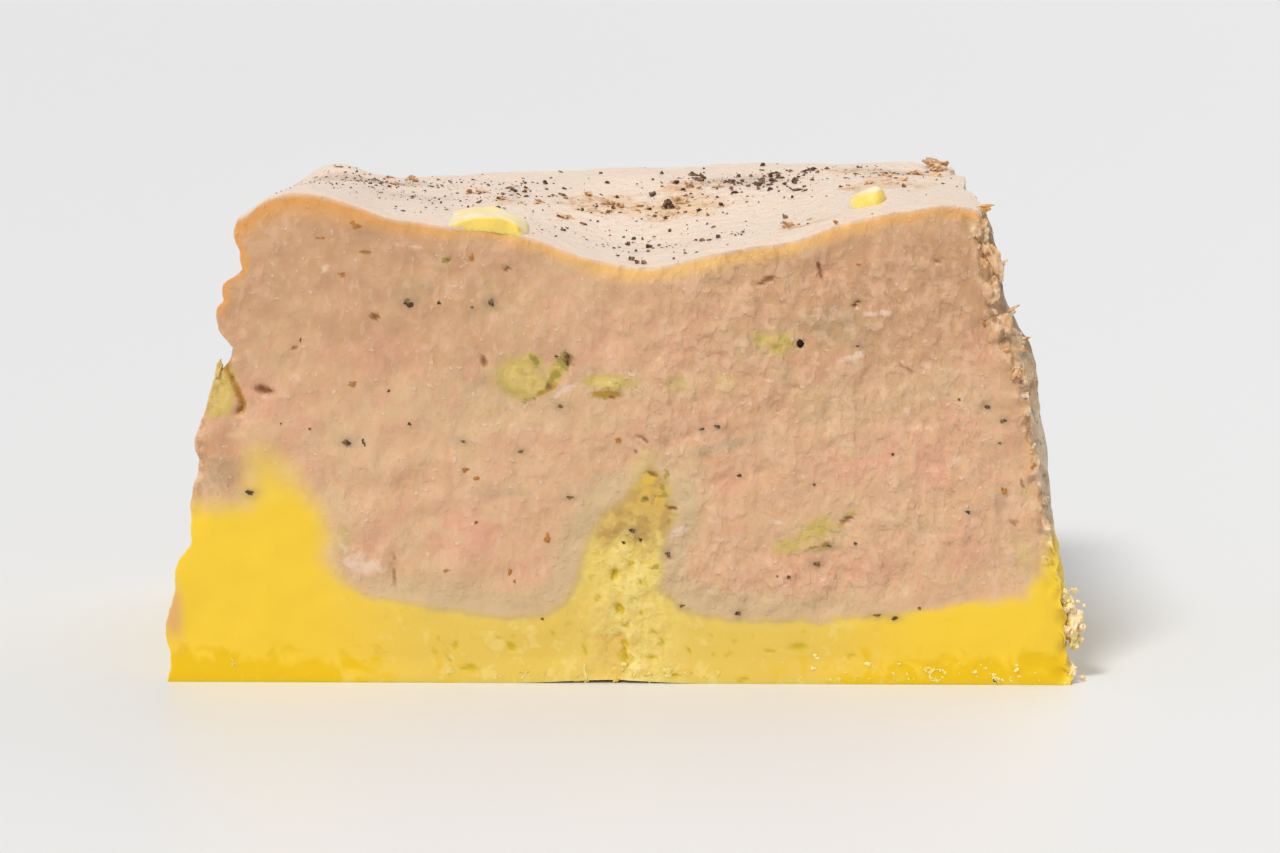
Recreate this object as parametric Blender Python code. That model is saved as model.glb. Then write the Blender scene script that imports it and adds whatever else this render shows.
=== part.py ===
"""A block cut from a terrine of duck liver, turned out upside down: three pressed lobes of
liver over a layer of yellow fat, with pockets of fat in the cut face and chips of fat on top.

Blender 4.5, metres, +Z up. The origin is the middle of the base, and the cut face that shows
the layers looks along -Y. Lengths below are in millimetres, turned into metres by MM.
"""

import math
import random

import bmesh
import bpy
from mathutils import Matrix, Vector, noise

MM = 0.001

# Driving dimensions
BASE_WIDTH = 95.0
TOP_WIDTH = 76.0
HEIGHT = 50.0
DEPTH = 49.0
FRONT = -DEPTH / 2
GAP = 0.3

# How finely the block's surface is divided, across, back and up
CELLS = (44, 10, 25)

# Cut face: its ragged left edge, as (height, x)
LEFT_EDGE = [
    (0.0, -47.2), (3.0, -46.7), (5.3, -47.3), (9.8, -46.2), (13.2, -45.8), (14.2, -44.5),
    (18.6, -43.9), (20.7, -44.3), (22.6, -43.6), (26.8, -43.8), (29.4, -42.6), (32.2, -42.0),
    (33.8, -40.8), (35.3, -39.8), (36.5, -40.8), (39.4, -41.3), (41.2, -40.6), (42.7, -39.2),
    (44.8, -38.6), (46.9, -39.4), (49.0, -38.7), (52.0, -38.1),
]
# Cut face: its right edge, where the crumbly rim has broken off, as (height, x)
RIGHT_EDGE = [
    (0.0, 47.8), (4.9, 47.0), (10.2, 46.3), (14.4, 45.6), (19.7, 44.4), (25.0, 43.4),
    (28.2, 43.0), (31.8, 42.4), (35.3, 40.9), (38.1, 39.7), (40.7, 39.0), (44.6, 38.3),
    (47.4, 37.7), (52.0, 36.6),
]
# Moulded right side just behind that rim, as (height, x)
RIGHT_SIDE = [
    (0.0, 48.0), (3.8, 47.5), (9.1, 47.3), (15.5, 46.3), (20.8, 45.4), (28.2, 44.0),
    (32.3, 43.8), (36.0, 42.9), (38.1, 41.5), (40.7, 40.4), (44.8, 39.9), (46.9, 39.2),
    (52.0, 37.6),
]
# Cut face: its top edge, which dips in the middle, as (x, height)
TOP_EDGE = [
    (-38.5, 49.0), (-36.7, 50.4), (-34.8, 51.2), (-32.6, 51.5), (-28.0, 50.8), (-24.9, 49.6),
    (-18.2, 48.5), (-13.1, 48.0), (-9.0, 46.9), (-4.9, 45.5), (-0.8, 44.4), (2.3, 44.0),
    (6.4, 44.5), (11.5, 45.6), (17.7, 46.8), (23.8, 48.6), (28.9, 49.8), (34.6, 50.2),
    (38.0, 49.6),
]
# Far edge of the top, as (x, height)
BACK_TOP_EDGE = [
    (-38.5, 47.2), (-34.5, 48.6), (-25.8, 48.6), (-15.3, 49.0), (2.1, 49.7), (24.2, 50.4),
    (38.0, 50.0),
]

# A lump and a shallow pit on the top: (x, share of the depth), half sizes alike, height
TOP_LUMP = ((-33.0, 0.9), (3.6, 0.12), 1.5)
TOP_PIT = ((4.0, 0.42), (11.0, 0.2), -0.8)
# Low hollow under the front of the base: middle x, half width, height
BASE_HOLLOW = (-2.5, 10.5, 0.9)
# Crumbly strip of fat between the two lower lobes: middle x, half width, top, depth of pits
CRUMBLY_SEAM = (1.5, 4.5, 21.0, 1.1)

# Borders between the pieces on the cut face, as (x, z)
FAT_PEAK = (-37.3, 24.7)
SEAM_TOP = (3.4, 23.2)
LEFT_SHOULDER = [(-44.1, 18.6), (-38.7, 18.7), (-38.2, 21.5), (-38.3, 24.0)]
UNDER_LEFT_LOBE = [
    (-35.8, 24.1), (-34.0, 22.1), (-30.9, 18.4), (-29.9, 15.2), (-30.4, 13.1), (-28.4, 10.4),
    (-25.3, 8.8), (-20.6, 8.2), (-15.5, 7.3), (-11.2, 6.8), (-7.5, 7.2), (-5.4, 8.5),
    (-4.2, 10.5), (-3.6, 13.2), (-2.8, 15.9), (-1.4, 18.2), (0.8, 19.6), (2.0, 21.2),
]
UNDER_RIGHT_LOBE = [
    (5.3, 21.6), (5.4, 19.6), (6.0, 17.6), (4.9, 15.3), (4.7, 12.7), (4.3, 10.2), (7.6, 7.4),
    (12.9, 6.6), (21.2, 6.7), (29.6, 7.6), (37.9, 8.7), (42.6, 9.5), (44.3, 11.8),
    (44.6, 15.0), (46.2, 17.0),
]
LEFT_LOBE_TOP = [
    (-32.9, 25.2), (-28.2, 25.4), (-20.5, 24.4), (-14.3, 22.6), (-8.0, 21.2), (-1.8, 21.0),
]
RIGHT_LOBE_TOP = [
    (7.5, 24.4), (12.7, 25.6), (18.9, 26.4), (25.1, 27.0), (32.4, 27.8), (40.1, 28.1),
    (44.5, 27.6),
]
# Where the borders pass out of the block: an x or z well outside it, and their heights there
OUTSIDE = 60.0
LEFT_FAT_HEIGHT = 18.4
RIGHT_FAT_HEIGHT = 17.6
RIGHT_LOBE_HEIGHT = 27.0
BELOW = -10.0
BORDER_STATIONS = 8

# Fat pockets in the cut face: name, the piece that holds it, centre (x, z), half sizes (x, z)
POCKETS = [
    ("fat_pocket_large", "liver_lobe_top", (-9.3, 32.3), (3.1, 2.4)),
    ("fat_pocket_small", "liver_lobe_top", (-1.2, 31.1), (1.9, 0.9)),
    ("fat_pocket_high", "liver_lobe_top", (16.0, 35.8), (1.9, 1.4)),
    ("fat_pocket_low", "liver_lobe_right", (20.2, 15.4), (4.3, 1.9)),
]
POCKET_DEPTH = 5.0

# Torn crease at the left edge, as (x, z) round its outline, and how deep it runs
CREASE = [
    (-41.6, 37.0), (-40.0, 35.4), (-40.0, 32.9), (-38.9, 30.9), (-38.3, 29.3), (-38.7, 28.3),
    (-40.0, 28.3), (-39.3, 29.4), (-39.9, 31.0), (-40.7, 32.6), (-41.3, 34.4),
]
CREASE_DEPTH = 4.0

# Fat chips on the top: name, centre (x, y), half sizes (x, y), thickness
CHIPS = [
    ("fat_chip_left", (-13.6, -18.0), (4.4, 6.4), 1.2),
    ("fat_chip_right", (26.3, -12.0), (2.1, 2.6), 2.2),
]
# Height of a chip's underside above the top, which its coarse faces may rise into
CHIP_LIFT = 0.6

# Flakes that stand out of the right edge, by their tips (x, y, z), and their size
FLAKE_TIPS = [(38.7, -22.5, 50.2), (40.3, -22.5, 44.2), (41.6, -22.0, 39.4), (42.9, -21.5, 36.2)]
FLAKE_LENGTH = 4.0
FLAKE_ROOT = 1.3

# Crumbs of fat stuck low on the right side: (x, y, z), radius
CRUMBS = [
    ((46.9, -21.5, 9.4), 1.2), ((47.9, -21.5, 7.3), 1.4), ((48.2, -20.0, 5.3), 1.5),
    ((47.4, -22.5, 4.2), 1.3), ((47.9, -22.5, 1.8), 1.3),
]

# Coarse pepper on the top, thickest round the hollow: middle x, spread, furthest x, radii
PEPPER_GRAINS = 34
PEPPER_SEED = 5
PEPPER_MIDDLE = 8.0
PEPPER_SPREAD = 14.0
PEPPER_REACH = 32.0
PEPPER_RADIUS = (0.45, 0.95)
EDGE_MARGIN = 3.0

LIVER = (0.62, 0.42, 0.28)
YELLOW_FAT = (0.86, 0.62, 0.10)
POCKET_FAT = (0.62, 0.52, 0.16)
CHIP_FAT = (0.90, 0.76, 0.30)


# Curves and noise


def ease(t):
    """Eases t, held between 0 and 1."""
    t = min(1.0, max(0.0, t))
    return t * t * (3.0 - 2.0 * t)


def follow(points, at):
    """Reads a line drawn through (place, value) points."""
    if at <= points[0][0]:
        return points[0][1]
    for (a, low), (b, high) in zip(points, points[1:]):
        if at <= b:
            return low + (high - low) * (at - a) / (b - a)
    return points[-1][1]


def wave(x, y, z, size, seed):
    """Smooth noise from about -1 to 1, in lumps about size millimetres across."""
    return noise.noise(Vector((x, y, z)) / size + Vector((seed, 0.3 * seed, -seed)))


def mound(x, back, spot):
    """The height that a lump or pit adds to the top."""
    (middle_x, middle_back), (half_x, half_back), height = spot
    away = ((x - middle_x) / half_x) ** 2 + ((back - middle_back) / half_back) ** 2
    return height * math.exp(-away)


# The whole block, before it is parted


def moulded_x(z):
    """Half the width that the mould gives the block at a height."""
    return BASE_WIDTH / 2 - (BASE_WIDTH - TOP_WIDTH) / 2 * z / HEIGHT


def left_x(z, back):
    """The left side's x at a height, from the cut face (back 0) to the far face (back 1)."""
    near = follow(LEFT_EDGE, z)
    return near + (-moulded_x(z) - near) * ease(back * 5.0)


def right_x(z, back):
    """The right side's x, which stands out behind the broken rim of the cut face."""
    near = follow(RIGHT_EDGE, z)
    rim = near + (follow(RIGHT_SIDE, z) - near) * ease(back * 12.0)
    return rim + (moulded_x(z) - rim) * ease(back * 2.5 - 0.4)


def top_z(x, back):
    """Height of the top, a hollow that is deepest at the cut face."""
    near = follow(TOP_EDGE, x)
    height = near + (follow(BACK_TOP_EDGE, x) - near) * ease(back * 1.1)
    return height + mound(x, back, TOP_LUMP) + mound(x, back, TOP_PIT)


def top_waves(x, y):
    """The small rise and fall of the top."""
    return 0.45 * wave(x, y, 0.0, 10.0, 8.3) + 0.2 * wave(x, y, 0.0, 3.4, 2.9)


def base_z(x, back):
    """Height of the base, flat but for the low hollow at the cut face."""
    middle, half_width, height = BASE_HOLLOW
    across = ease(1.0 - abs((x - middle) / half_width))
    return height * across * ease(1.0 - back * 5.0)


def cut_relief(x, y, z):
    """How far a cut face sinks in: soft crags, and pits in the crumbly seam."""
    middle, half_width, top, pits = CRUMBLY_SEAM
    crumbly = math.exp(-(((x - middle) / half_width) ** 2)) * ease((top - z) / 6.0)
    soft = 0.35 + 0.4 * wave(x, y, z, 6.5, 12.1) + 0.3 * wave(x, y, z, 2.6, 6.6)
    return soft + pits * crumbly * abs(wave(x, y, z, 2.4, 9.9))


def block_point(across, back, up):
    """Maps a point of the unit cube, each coordinate from 0 to 1, to the block."""
    z = up * HEIGHT
    left, right = left_x(z, back), right_x(z, back)
    x = left + (right - left) * across
    floor, ceiling = base_z(x, back), top_z(x, back)
    z = floor + (ceiling - floor) * up
    y = DEPTH * (back - 0.5)
    near_side = abs(2.0 * across - 1.0) ** 8
    bulge = 0.7 * wave(x, y, z, 9.0, 1.7) + 0.35 * wave(x, y, z, 3.2, 4.1)
    x += near_side * bulge * ease(back * 6.0)
    z += up**8 * top_waves(x, y)
    near_end = (1.0 - back) ** 12 + back**12
    inwards = 1.0 if back < 0.5 else -1.0
    y += near_end * inwards * cut_relief(x, y, z) * ease(z / 1.2)
    return Vector((x, y, z)) * MM


def block_mesh():
    """The whole block as one closed mesh, with its crags, dip and torn edges."""
    bm = bmesh.new()
    bmesh.ops.create_cube(bm, size=1.0)
    for axis, cells in enumerate(CELLS):
        along = [e for e in bm.edges if abs((e.verts[0].co - e.verts[1].co)[axis]) > 0.5]
        bmesh.ops.subdivide_edges(bm, edges=along, cuts=cells - 1, use_grid_fill=True)
    for vertex in bm.verts:
        vertex.co = block_point(*(vertex.co + Vector((0.5, 0.5, 0.5))))
    return finish_mesh(bm, "block")


# Mesh and object helpers


def finish_mesh(bm, name):
    """Turns a bmesh into a named mesh whose faces point out."""
    bm.normal_update()
    bmesh.ops.recalc_face_normals(bm, faces=bm.faces)
    mesh = bpy.data.meshes.new(name)
    bm.to_mesh(mesh)
    bm.free()
    return mesh


def add_object(name, mesh, material=None):
    """Links a mesh as a named object, with its material."""
    made = bpy.data.objects.new(name, mesh)
    bpy.context.scene.collection.objects.link(made)
    if material:
        mesh.materials.append(material)
    return made


def as_cutter(made):
    """Marks an object as a guide that only shapes other pieces."""
    made.hide_render = True
    made.display_type = "WIRE"
    return made


def add_boolean(made, other, operation, solver="EXACT"):
    """Cuts one object with another."""
    modifier = made.modifiers.new(operation.lower() + "_" + other.name, "BOOLEAN")
    modifier.operation = operation
    modifier.solver = solver
    modifier.object = other


def apply_modifiers(made):
    """Replaces an object's mesh by its evaluated shape."""
    graph = bpy.context.evaluated_depsgraph_get()
    shaped = bpy.data.meshes.new_from_object(made.evaluated_get(graph))
    made.modifiers.clear()
    made.data = shaped


def fuse(made, bits):
    """Joins small bits to a piece by one union on a collection, then removes them."""
    group = bpy.data.collections.new("bits_of_" + made.name)
    for bit in bits:
        group.objects.link(bit)
    modifier = made.modifiers.new("fuse", "BOOLEAN")
    modifier.operation = "UNION"
    modifier.operand_type = "COLLECTION"
    modifier.collection = group
    modifier.solver = "MANIFOLD"
    apply_modifiers(made)
    for bit in bits:
        bpy.data.objects.remove(bit)
    bpy.data.collections.remove(group)


def make_material(name, colour, roughness):
    """A plain Principled material."""
    made = bpy.data.materials.new(name)
    made.use_nodes = True
    shader = made.node_tree.nodes["Principled BSDF"]
    shader.inputs["Base Color"].default_value = (*colour, 1.0)
    shader.inputs["Roughness"].default_value = roughness
    return made


# Zones that part the block into its pieces


def inset(outline, distance):
    """Moves each corner of a closed outline inwards, so that neighbours keep a gap."""
    following = outline[1:] + outline[:1]
    area = sum(a[0] * b[1] - b[0] * a[1] for a, b in zip(outline, following))
    turn = 1.0 if area > 0 else -1.0
    moved = []
    for i, corner in enumerate(outline):
        here = Vector(corner)
        way_in = (here - Vector(outline[i - 1])).normalized()
        way_out = (Vector(following[i]) - here).normalized()
        side = Vector((-way_in.y, way_in.x))
        middle = (side + Vector((-way_out.y, way_out.x))).normalized()
        moved.append(here + middle * turn * distance / max(0.45, middle.dot(side)))
    return moved


def drift(x, y, z):
    """How far the borders between pieces wander, aside and up, behind the cut face."""
    back = ease((y / DEPTH + 0.5) * 2.0)
    aside = 3.2 * back * wave(0.5 * x, y, 0.5 * z, 21.0, 3.3)
    up = 2.4 * back * wave(0.5 * x, y, 0.5 * z, 24.0, 7.7)
    return aside, up


def zone(name, outline):
    """A wavy prism through the block's depth, which holds one piece of it."""
    reach = DEPTH + 6.0
    bm = bmesh.new()
    ring = [bm.verts.new((x, -reach / 2, z)) for x, z in inset(outline, GAP / 2)]
    cap = bm.faces.new(ring)
    for station in range(BORDER_STATIONS):
        grown = bmesh.ops.extrude_face_region(bm, geom=[cap])["geom"]
        if station:
            bmesh.ops.delete(bm, geom=[cap], context="FACES_ONLY")
        cap = next(item for item in grown if isinstance(item, bmesh.types.BMFace))
        bmesh.ops.translate(bm, verts=cap.verts, vec=(0.0, reach / BORDER_STATIONS, 0.0))
    for vertex in bm.verts:
        x, y, z = vertex.co
        aside, up = drift(x, y, z)
        vertex.co = Vector((x + aside, y, z + up)) * MM
    bmesh.ops.triangulate(bm, faces=bm.faces)
    return as_cutter(add_object(name, finish_mesh(bm, name)))


def zone_outlines():
    """The outline that holds each piece, built from the shared borders."""
    return {
        "liver_lobe_top": [
            (-OUTSIDE, LEFT_FAT_HEIGHT), *LEFT_SHOULDER, FAT_PEAK, *LEFT_LOBE_TOP, SEAM_TOP,
            *RIGHT_LOBE_TOP, (OUTSIDE, RIGHT_LOBE_HEIGHT), (OUTSIDE, OUTSIDE),
            (-OUTSIDE, OUTSIDE),
        ],
        "liver_lobe_left": [
            FAT_PEAK, *UNDER_LEFT_LOBE, SEAM_TOP, *reversed(LEFT_LOBE_TOP),
        ],
        "liver_lobe_right": [
            SEAM_TOP, *UNDER_RIGHT_LOBE, (OUTSIDE, RIGHT_FAT_HEIGHT),
            (OUTSIDE, RIGHT_LOBE_HEIGHT), *reversed(RIGHT_LOBE_TOP),
        ],
        "fat_layer": [
            (-OUTSIDE, BELOW), (OUTSIDE, BELOW), (OUTSIDE, RIGHT_FAT_HEIGHT),
            *reversed(UNDER_RIGHT_LOBE), SEAM_TOP, *reversed(UNDER_LEFT_LOBE), FAT_PEAK,
            *reversed(LEFT_SHOULDER), (-OUTSIDE, LEFT_FAT_HEIGHT),
        ],
    }


# Small shapes


def blob(name, centre, half, seed, detail=2, roughness=0.12):
    """A lumpy ball with its own half sizes."""
    bm = bmesh.new()
    bmesh.ops.create_icosphere(bm, subdivisions=detail, radius=1.0)
    for vertex in bm.verts:
        way = vertex.co.copy()
        swell = 1.0 + roughness * wave(*(way * 3.0), 1.6, seed)
        vertex.co = Vector([c + w * h * swell for c, w, h in zip(centre, way, half)]) * MM
    return add_object(name, finish_mesh(bm, name))


def flake(name, tip):
    """A thin torn spike that leans out to the right, rooted inside the block."""
    bm = bmesh.new()
    bmesh.ops.create_cone(
        bm, segments=5, radius1=FLAKE_ROOT, radius2=0.12, depth=FLAKE_LENGTH, cap_ends=True
    )
    for vertex in bm.verts:
        side, back, along = vertex.co
        out = along - FLAKE_LENGTH / 2
        vertex.co = (Vector(tip) + Vector((out, back, 0.7 * side + 0.2 * out))) * MM
    return add_object(name, finish_mesh(bm, name))


def near_chip(x, y):
    """Whether a place on the top is on a fat chip or close beside it."""
    margin = 2.0
    return any(
        abs(x - chip_x) < half_x + margin and abs(y - chip_y) < half_y + margin
        for _, (chip_x, chip_y), (half_x, half_y), _ in CHIPS
    )


def pepper_grains():
    """Coarse grains of pepper, sunk into the top."""
    draw = random.Random(PEPPER_SEED)
    grains = []
    while len(grains) < PEPPER_GRAINS:
        x = draw.gauss(PEPPER_MIDDLE, PEPPER_SPREAD)
        y = draw.uniform(FRONT + EDGE_MARGIN, -FRONT - EDGE_MARGIN)
        radius = draw.uniform(*PEPPER_RADIUS)
        if abs(x) > PEPPER_REACH or near_chip(x, y):
            continue
        z = top_z(x, y / DEPTH + 0.5) + top_waves(x, y) + 0.15
        half = (radius, radius * draw.uniform(0.6, 0.9), radius * 0.75)
        grains.append(blob(f"grain_{len(grains)}", (x, y, z), half, len(grains), detail=1))
    return grains


def crease_cutter():
    """The torn crease at the left edge, which runs in from the cut face."""
    start = 1.5
    bm = bmesh.new()
    ring = [bm.verts.new((x, FRONT - start, z)) for x, z in CREASE]
    grown = bmesh.ops.extrude_face_region(bm, geom=[bm.faces.new(ring)])["geom"]
    far = [item for item in grown if isinstance(item, bmesh.types.BMVert)]
    bmesh.ops.translate(bm, verts=far, vec=(-0.6, CREASE_DEPTH + start, 0.0))
    bmesh.ops.scale(bm, verts=bm.verts, vec=(MM, MM, MM))
    return as_cutter(add_object("crease", finish_mesh(bm, "crease")))


# Assembly


def add_lobes_and_fat(block, liver, fat):
    """Parts the block into the three lobes and the fat under them."""
    pieces = {}
    for name, outline in zone_outlines().items():
        material = fat if name == "fat_layer" else liver
        piece = add_object(name, block.copy(), material)
        keeper = zone("zone_of_" + name, outline)
        add_boolean(piece, keeper, "INTERSECT", "MANIFOLD")
        apply_modifiers(piece)
        bpy.data.objects.remove(keeper)
        pieces[name] = piece
    return pieces


def add_pockets(block, pieces, material):
    """Sinks each pocket of fat into the cut face, flush with it and a gap clear of its lobe."""
    for seed, (name, holder, (x, z), (half_x, half_z)) in enumerate(POCKETS):
        centre = (x, FRONT, z)
        half = (half_x, POCKET_DEPTH, half_z)
        recess_half = [side + GAP for side in half]
        recess = as_cutter(blob("recess_of_" + name, centre, recess_half, seed))
        add_boolean(pieces[holder], recess, "DIFFERENCE")
        pocket = add_object(name, block.copy(), material)
        filling = as_cutter(blob("shape_of_" + name, centre, half, seed))
        add_boolean(pocket, filling, "INTERSECT")


def add_chip(name, centre, half, thickness, material):
    """A flat chip of fat that follows the top under it."""
    bm = bmesh.new()
    bmesh.ops.create_icosphere(bm, subdivisions=3, radius=1.0)
    for vertex in bm.verts:
        way = vertex.co.copy()
        swell = 1.0 + 0.16 * wave(*(way * 2.0), 1.3, half[0])
        x = centre[0] + way.x * half[0] * swell
        y = max(centre[1] + way.y * half[1] * swell, FRONT + 0.6)
        under = top_z(x, y / DEPTH + 0.5) + top_waves(x, y) + CHIP_LIFT
        vertex.co = Vector((x, y, under + thickness * max(way.z, 0.0) ** 0.7)) * MM
    add_object(name, finish_mesh(bm, name), material)


def centre_on_base():
    """Moves every piece so that the origin is the middle of the whole block's base."""
    graph = bpy.context.evaluated_depsgraph_get()
    shown = [piece for piece in bpy.data.objects if not piece.hide_render]
    corners = [corner for piece in shown for corner in piece.evaluated_get(graph).bound_box]
    low = Vector([min(corner[axis] for corner in corners) for axis in range(3)])
    high = Vector([max(corner[axis] for corner in corners) for axis in range(3)])
    shift = Vector((-(low.x + high.x) / 2, -(low.y + high.y) / 2, -low.z))
    for piece in bpy.data.objects:
        piece.data.transform(Matrix.Translation(shift))


def build():
    for old in list(bpy.data.objects):
        bpy.data.objects.remove(old)

    liver = make_material("liver", LIVER, 0.5)
    fat = make_material("yellow_fat", YELLOW_FAT, 0.38)
    pocket_fat = make_material("pocket_fat", POCKET_FAT, 0.42)
    chip_fat = make_material("chip_fat", CHIP_FAT, 0.4)

    block = block_mesh()
    pieces = add_lobes_and_fat(block, liver, fat)
    top_lobe = pieces["liver_lobe_top"]
    add_boolean(top_lobe, crease_cutter(), "DIFFERENCE")
    add_pockets(block, pieces, pocket_fat)
    apply_modifiers(top_lobe)
    flakes = [flake(f"flake_{i}", tip) for i, tip in enumerate(FLAKE_TIPS)]
    fuse(top_lobe, pepper_grains() + flakes)
    crumbs = [
        blob(f"crumb_{i}", place, (radius, radius, radius), i, detail=1, roughness=0.3)
        for i, (place, radius) in enumerate(CRUMBS)
    ]
    fuse(pieces["fat_layer"], crumbs)
    for name, centre, half, thickness in CHIPS:
        add_chip(name, centre, half, thickness, chip_fat)
    centre_on_base()


build()
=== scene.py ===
"""The looks of a block cut from a liver terrine, turned out upside down: the cut face with its
pits and crags, the peppered top, the moulded sides and the yellow fat under it all.

Blender 4.5. The block is worked out in millimetres, in the same outline as its plain solids,
and MM turns it into metres. -Y is the way the cut face looks.
"""

import math
import random

import bmesh
import bpy
import numpy as np
from mathutils import Euler, Matrix, Vector, noise


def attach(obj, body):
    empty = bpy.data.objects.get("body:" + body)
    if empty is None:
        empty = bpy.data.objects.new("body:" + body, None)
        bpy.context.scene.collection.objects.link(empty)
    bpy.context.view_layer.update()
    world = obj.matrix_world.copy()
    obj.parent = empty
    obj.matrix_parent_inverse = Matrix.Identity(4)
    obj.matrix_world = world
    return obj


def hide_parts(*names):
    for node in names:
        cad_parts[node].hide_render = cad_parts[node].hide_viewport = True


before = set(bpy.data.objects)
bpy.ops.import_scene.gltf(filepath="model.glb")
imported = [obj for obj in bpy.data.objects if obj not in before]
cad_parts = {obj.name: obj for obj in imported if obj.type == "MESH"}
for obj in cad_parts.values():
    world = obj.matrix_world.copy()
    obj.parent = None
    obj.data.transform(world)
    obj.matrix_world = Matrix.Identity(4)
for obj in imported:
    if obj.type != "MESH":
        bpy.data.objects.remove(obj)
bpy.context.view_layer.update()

MM = 0.001

# Driving sizes of the block, and how far its own middle lies from the frame's
BASE_WIDTH = 95.0
TOP_WIDTH = 76.0
HEIGHT = 50.0
DEPTH = 49.0
FRONT = -DEPTH / 2
SHIFT = Vector((-0.892, 0.020, 0.0))

# How finely the block's surface is divided, across, back and up
CELLS = (290, 40, 160)
# Rows of cells lie closer together near the two cut faces, by this share
ROWS_CROWD = 0.6
# Heights over which the soft and the fine crags of the cut faces grow up from nothing
FOOT = 3.0
FINE_FOOT = 0.8
# How far behind a cut face its finest crags and dark crevices are worked out, and how far
# behind the front one its own marks are, as shares of the depth
FINE_REACH = 0.12
CREVICE_REACH = 0.08
MARKS_REACH = 0.15

# Cut face: its ragged left edge, as (height, x)
LEFT_EDGE = [
    (0.0, -47.2), (3.0, -46.7), (5.3, -47.3), (9.8, -46.2), (13.2, -45.8), (14.2, -44.9),
    (16.6, -44.4), (18.6, -44.4), (20.7, -44.3), (22.6, -43.6), (26.8, -43.8), (29.4, -42.6),
    (32.2, -42.0),
    (33.8, -40.8), (35.9, -39.6), (36.9, -40.6), (38.4, -41.3), (40.2, -41.3), (41.0, -40.7),
    (41.8, -40.9), (43.0, -40.5), (43.8, -39.1), (45.8, -38.9), (48.0, -39.5), (50.2, -38.8),
    (52.0, -38.1),
]
# Cut face: its right edge, where the crumbly rim has broken off, as (height, x)
RIGHT_EDGE = [
    (0.0, 47.8), (4.9, 47.0), (10.2, 46.3), (14.4, 45.6), (19.7, 44.4), (25.0, 43.4),
    (28.2, 43.0), (31.8, 42.4), (35.3, 40.9), (38.1, 39.7), (40.7, 39.0), (44.6, 38.3),
    (47.4, 37.7), (52.0, 36.6),
]
# Moulded right side just behind that rim, as (height, x)
RIGHT_SIDE = [
    (0.0, 48.0), (3.8, 47.5), (9.1, 47.3), (15.5, 46.3), (20.8, 45.4), (28.2, 44.0),
    (32.3, 43.8), (36.0, 42.9), (38.1, 41.5), (40.7, 40.4), (44.8, 39.9), (46.9, 39.2),
    (52.0, 37.6),
]
# Cut face: its top edge, which dips in the middle, as (x, height)
TOP_EDGE = [
    (-38.5, 49.0), (-36.7, 50.4), (-34.8, 51.2), (-32.6, 51.5), (-28.0, 50.8), (-24.9, 49.6),
    (-18.2, 48.5), (-13.1, 48.0), (-9.0, 46.9), (-4.9, 45.5), (-0.8, 44.4), (2.3, 44.0),
    (6.4, 44.5), (11.5, 45.6), (17.7, 46.8), (23.8, 48.6), (28.9, 49.8), (34.6, 50.2),
    (38.0, 49.6),
]
# Far edge of the top, as (x, height)
BACK_TOP_EDGE = [
    (-38.5, 47.2), (-34.5, 48.6), (-25.8, 48.6), (-15.3, 49.0), (2.1, 49.7), (24.2, 50.4),
    (38.0, 50.0),
]

# A lump and a shallow pit on the top: (x, share of the depth), half sizes alike, height
TOP_LUMP = ((-33.0, 0.9), (3.6, 0.12), 1.5)
TOP_PIT = ((4.0, 0.42), (11.0, 0.2), -0.8)
# Low hollow under the front of the base: middle x, half width, height
BASE_HOLLOW = (-1.0, 10.5, 0.35)
# Crumbly strip of fat between the two lower lobes: middle x, half width, top, depth of pits
CRUMBLY_SEAM = (1.5, 4.5, 21.0, 0.5)

# Torn crease at the left edge, as (x, z) round its outline, and how deep it runs
CREASE = [
    (-41.6, 37.0), (-40.0, 35.4), (-40.0, 32.9), (-38.9, 30.9), (-38.3, 29.3), (-38.7, 28.3),
    (-40.0, 28.3), (-39.3, 29.4), (-39.9, 31.0), (-40.7, 32.6), (-41.3, 34.4),
]
CREASE_DEPTH = 0.55
# How deep the hollows in the liver and the pits in the fat are, for a depth of 1 in their lists
HOLE_DEPTH = 0.32
PIT_DEPTH = 0.28
# Finest torn ledges of the liver and of the crumbly seam, painted shade in the liver and golden in
# the seam: size, seed, share
LIVER_LEDGES = (1.0, 8.7, -0.5)
SEAM_LEDGES = (0.9, 13.0, 0.0)

# Pockets: how far their skirts spread, how proud their middles are, how sunk their rims, depth
POCKET_SKIRT = 1.35
POCKET_PROUD = 0.10
POCKET_SUNK = 0.24
POCKET_DEPTH = 3.0
# How much further forward a chip would have reached, had the knife not cut it off
CHIP_OVERRUN = 1.55
# How far a chip leans to the right for each millimetre forward
CHIP_SHEAR = 0.06

# Borders between the pieces on the cut face, as (x, z)
FAT_PEAK = (-37.3, 24.7)
SEAM_TOP = (3.4, 23.2)
LEFT_SHOULDER = [(-44.1, 18.6), (-38.7, 18.7), (-38.2, 21.5), (-38.3, 24.0)]
UNDER_LEFT_LOBE = [
    (-35.8, 24.1), (-34.0, 22.1), (-30.9, 18.4), (-29.9, 15.2), (-30.4, 13.1), (-28.4, 10.4),
    (-25.3, 8.8), (-20.6, 8.2), (-15.5, 7.3), (-11.2, 6.8), (-7.5, 7.2), (-5.4, 8.5),
    (-4.2, 10.5), (-3.6, 13.2), (-2.8, 15.9), (-1.4, 18.2), (0.8, 19.6), (2.0, 21.2),
]
UNDER_RIGHT_LOBE = [
    (5.3, 21.6), (5.4, 19.6), (6.0, 17.6), (4.9, 15.3), (4.7, 12.7), (4.3, 10.2), (7.6, 7.4),
    (12.9, 6.6), (21.2, 6.7), (29.6, 7.6), (37.9, 8.7), (42.6, 9.5), (44.3, 11.8),
    (44.6, 15.0), (46.2, 17.0),
]
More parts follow.
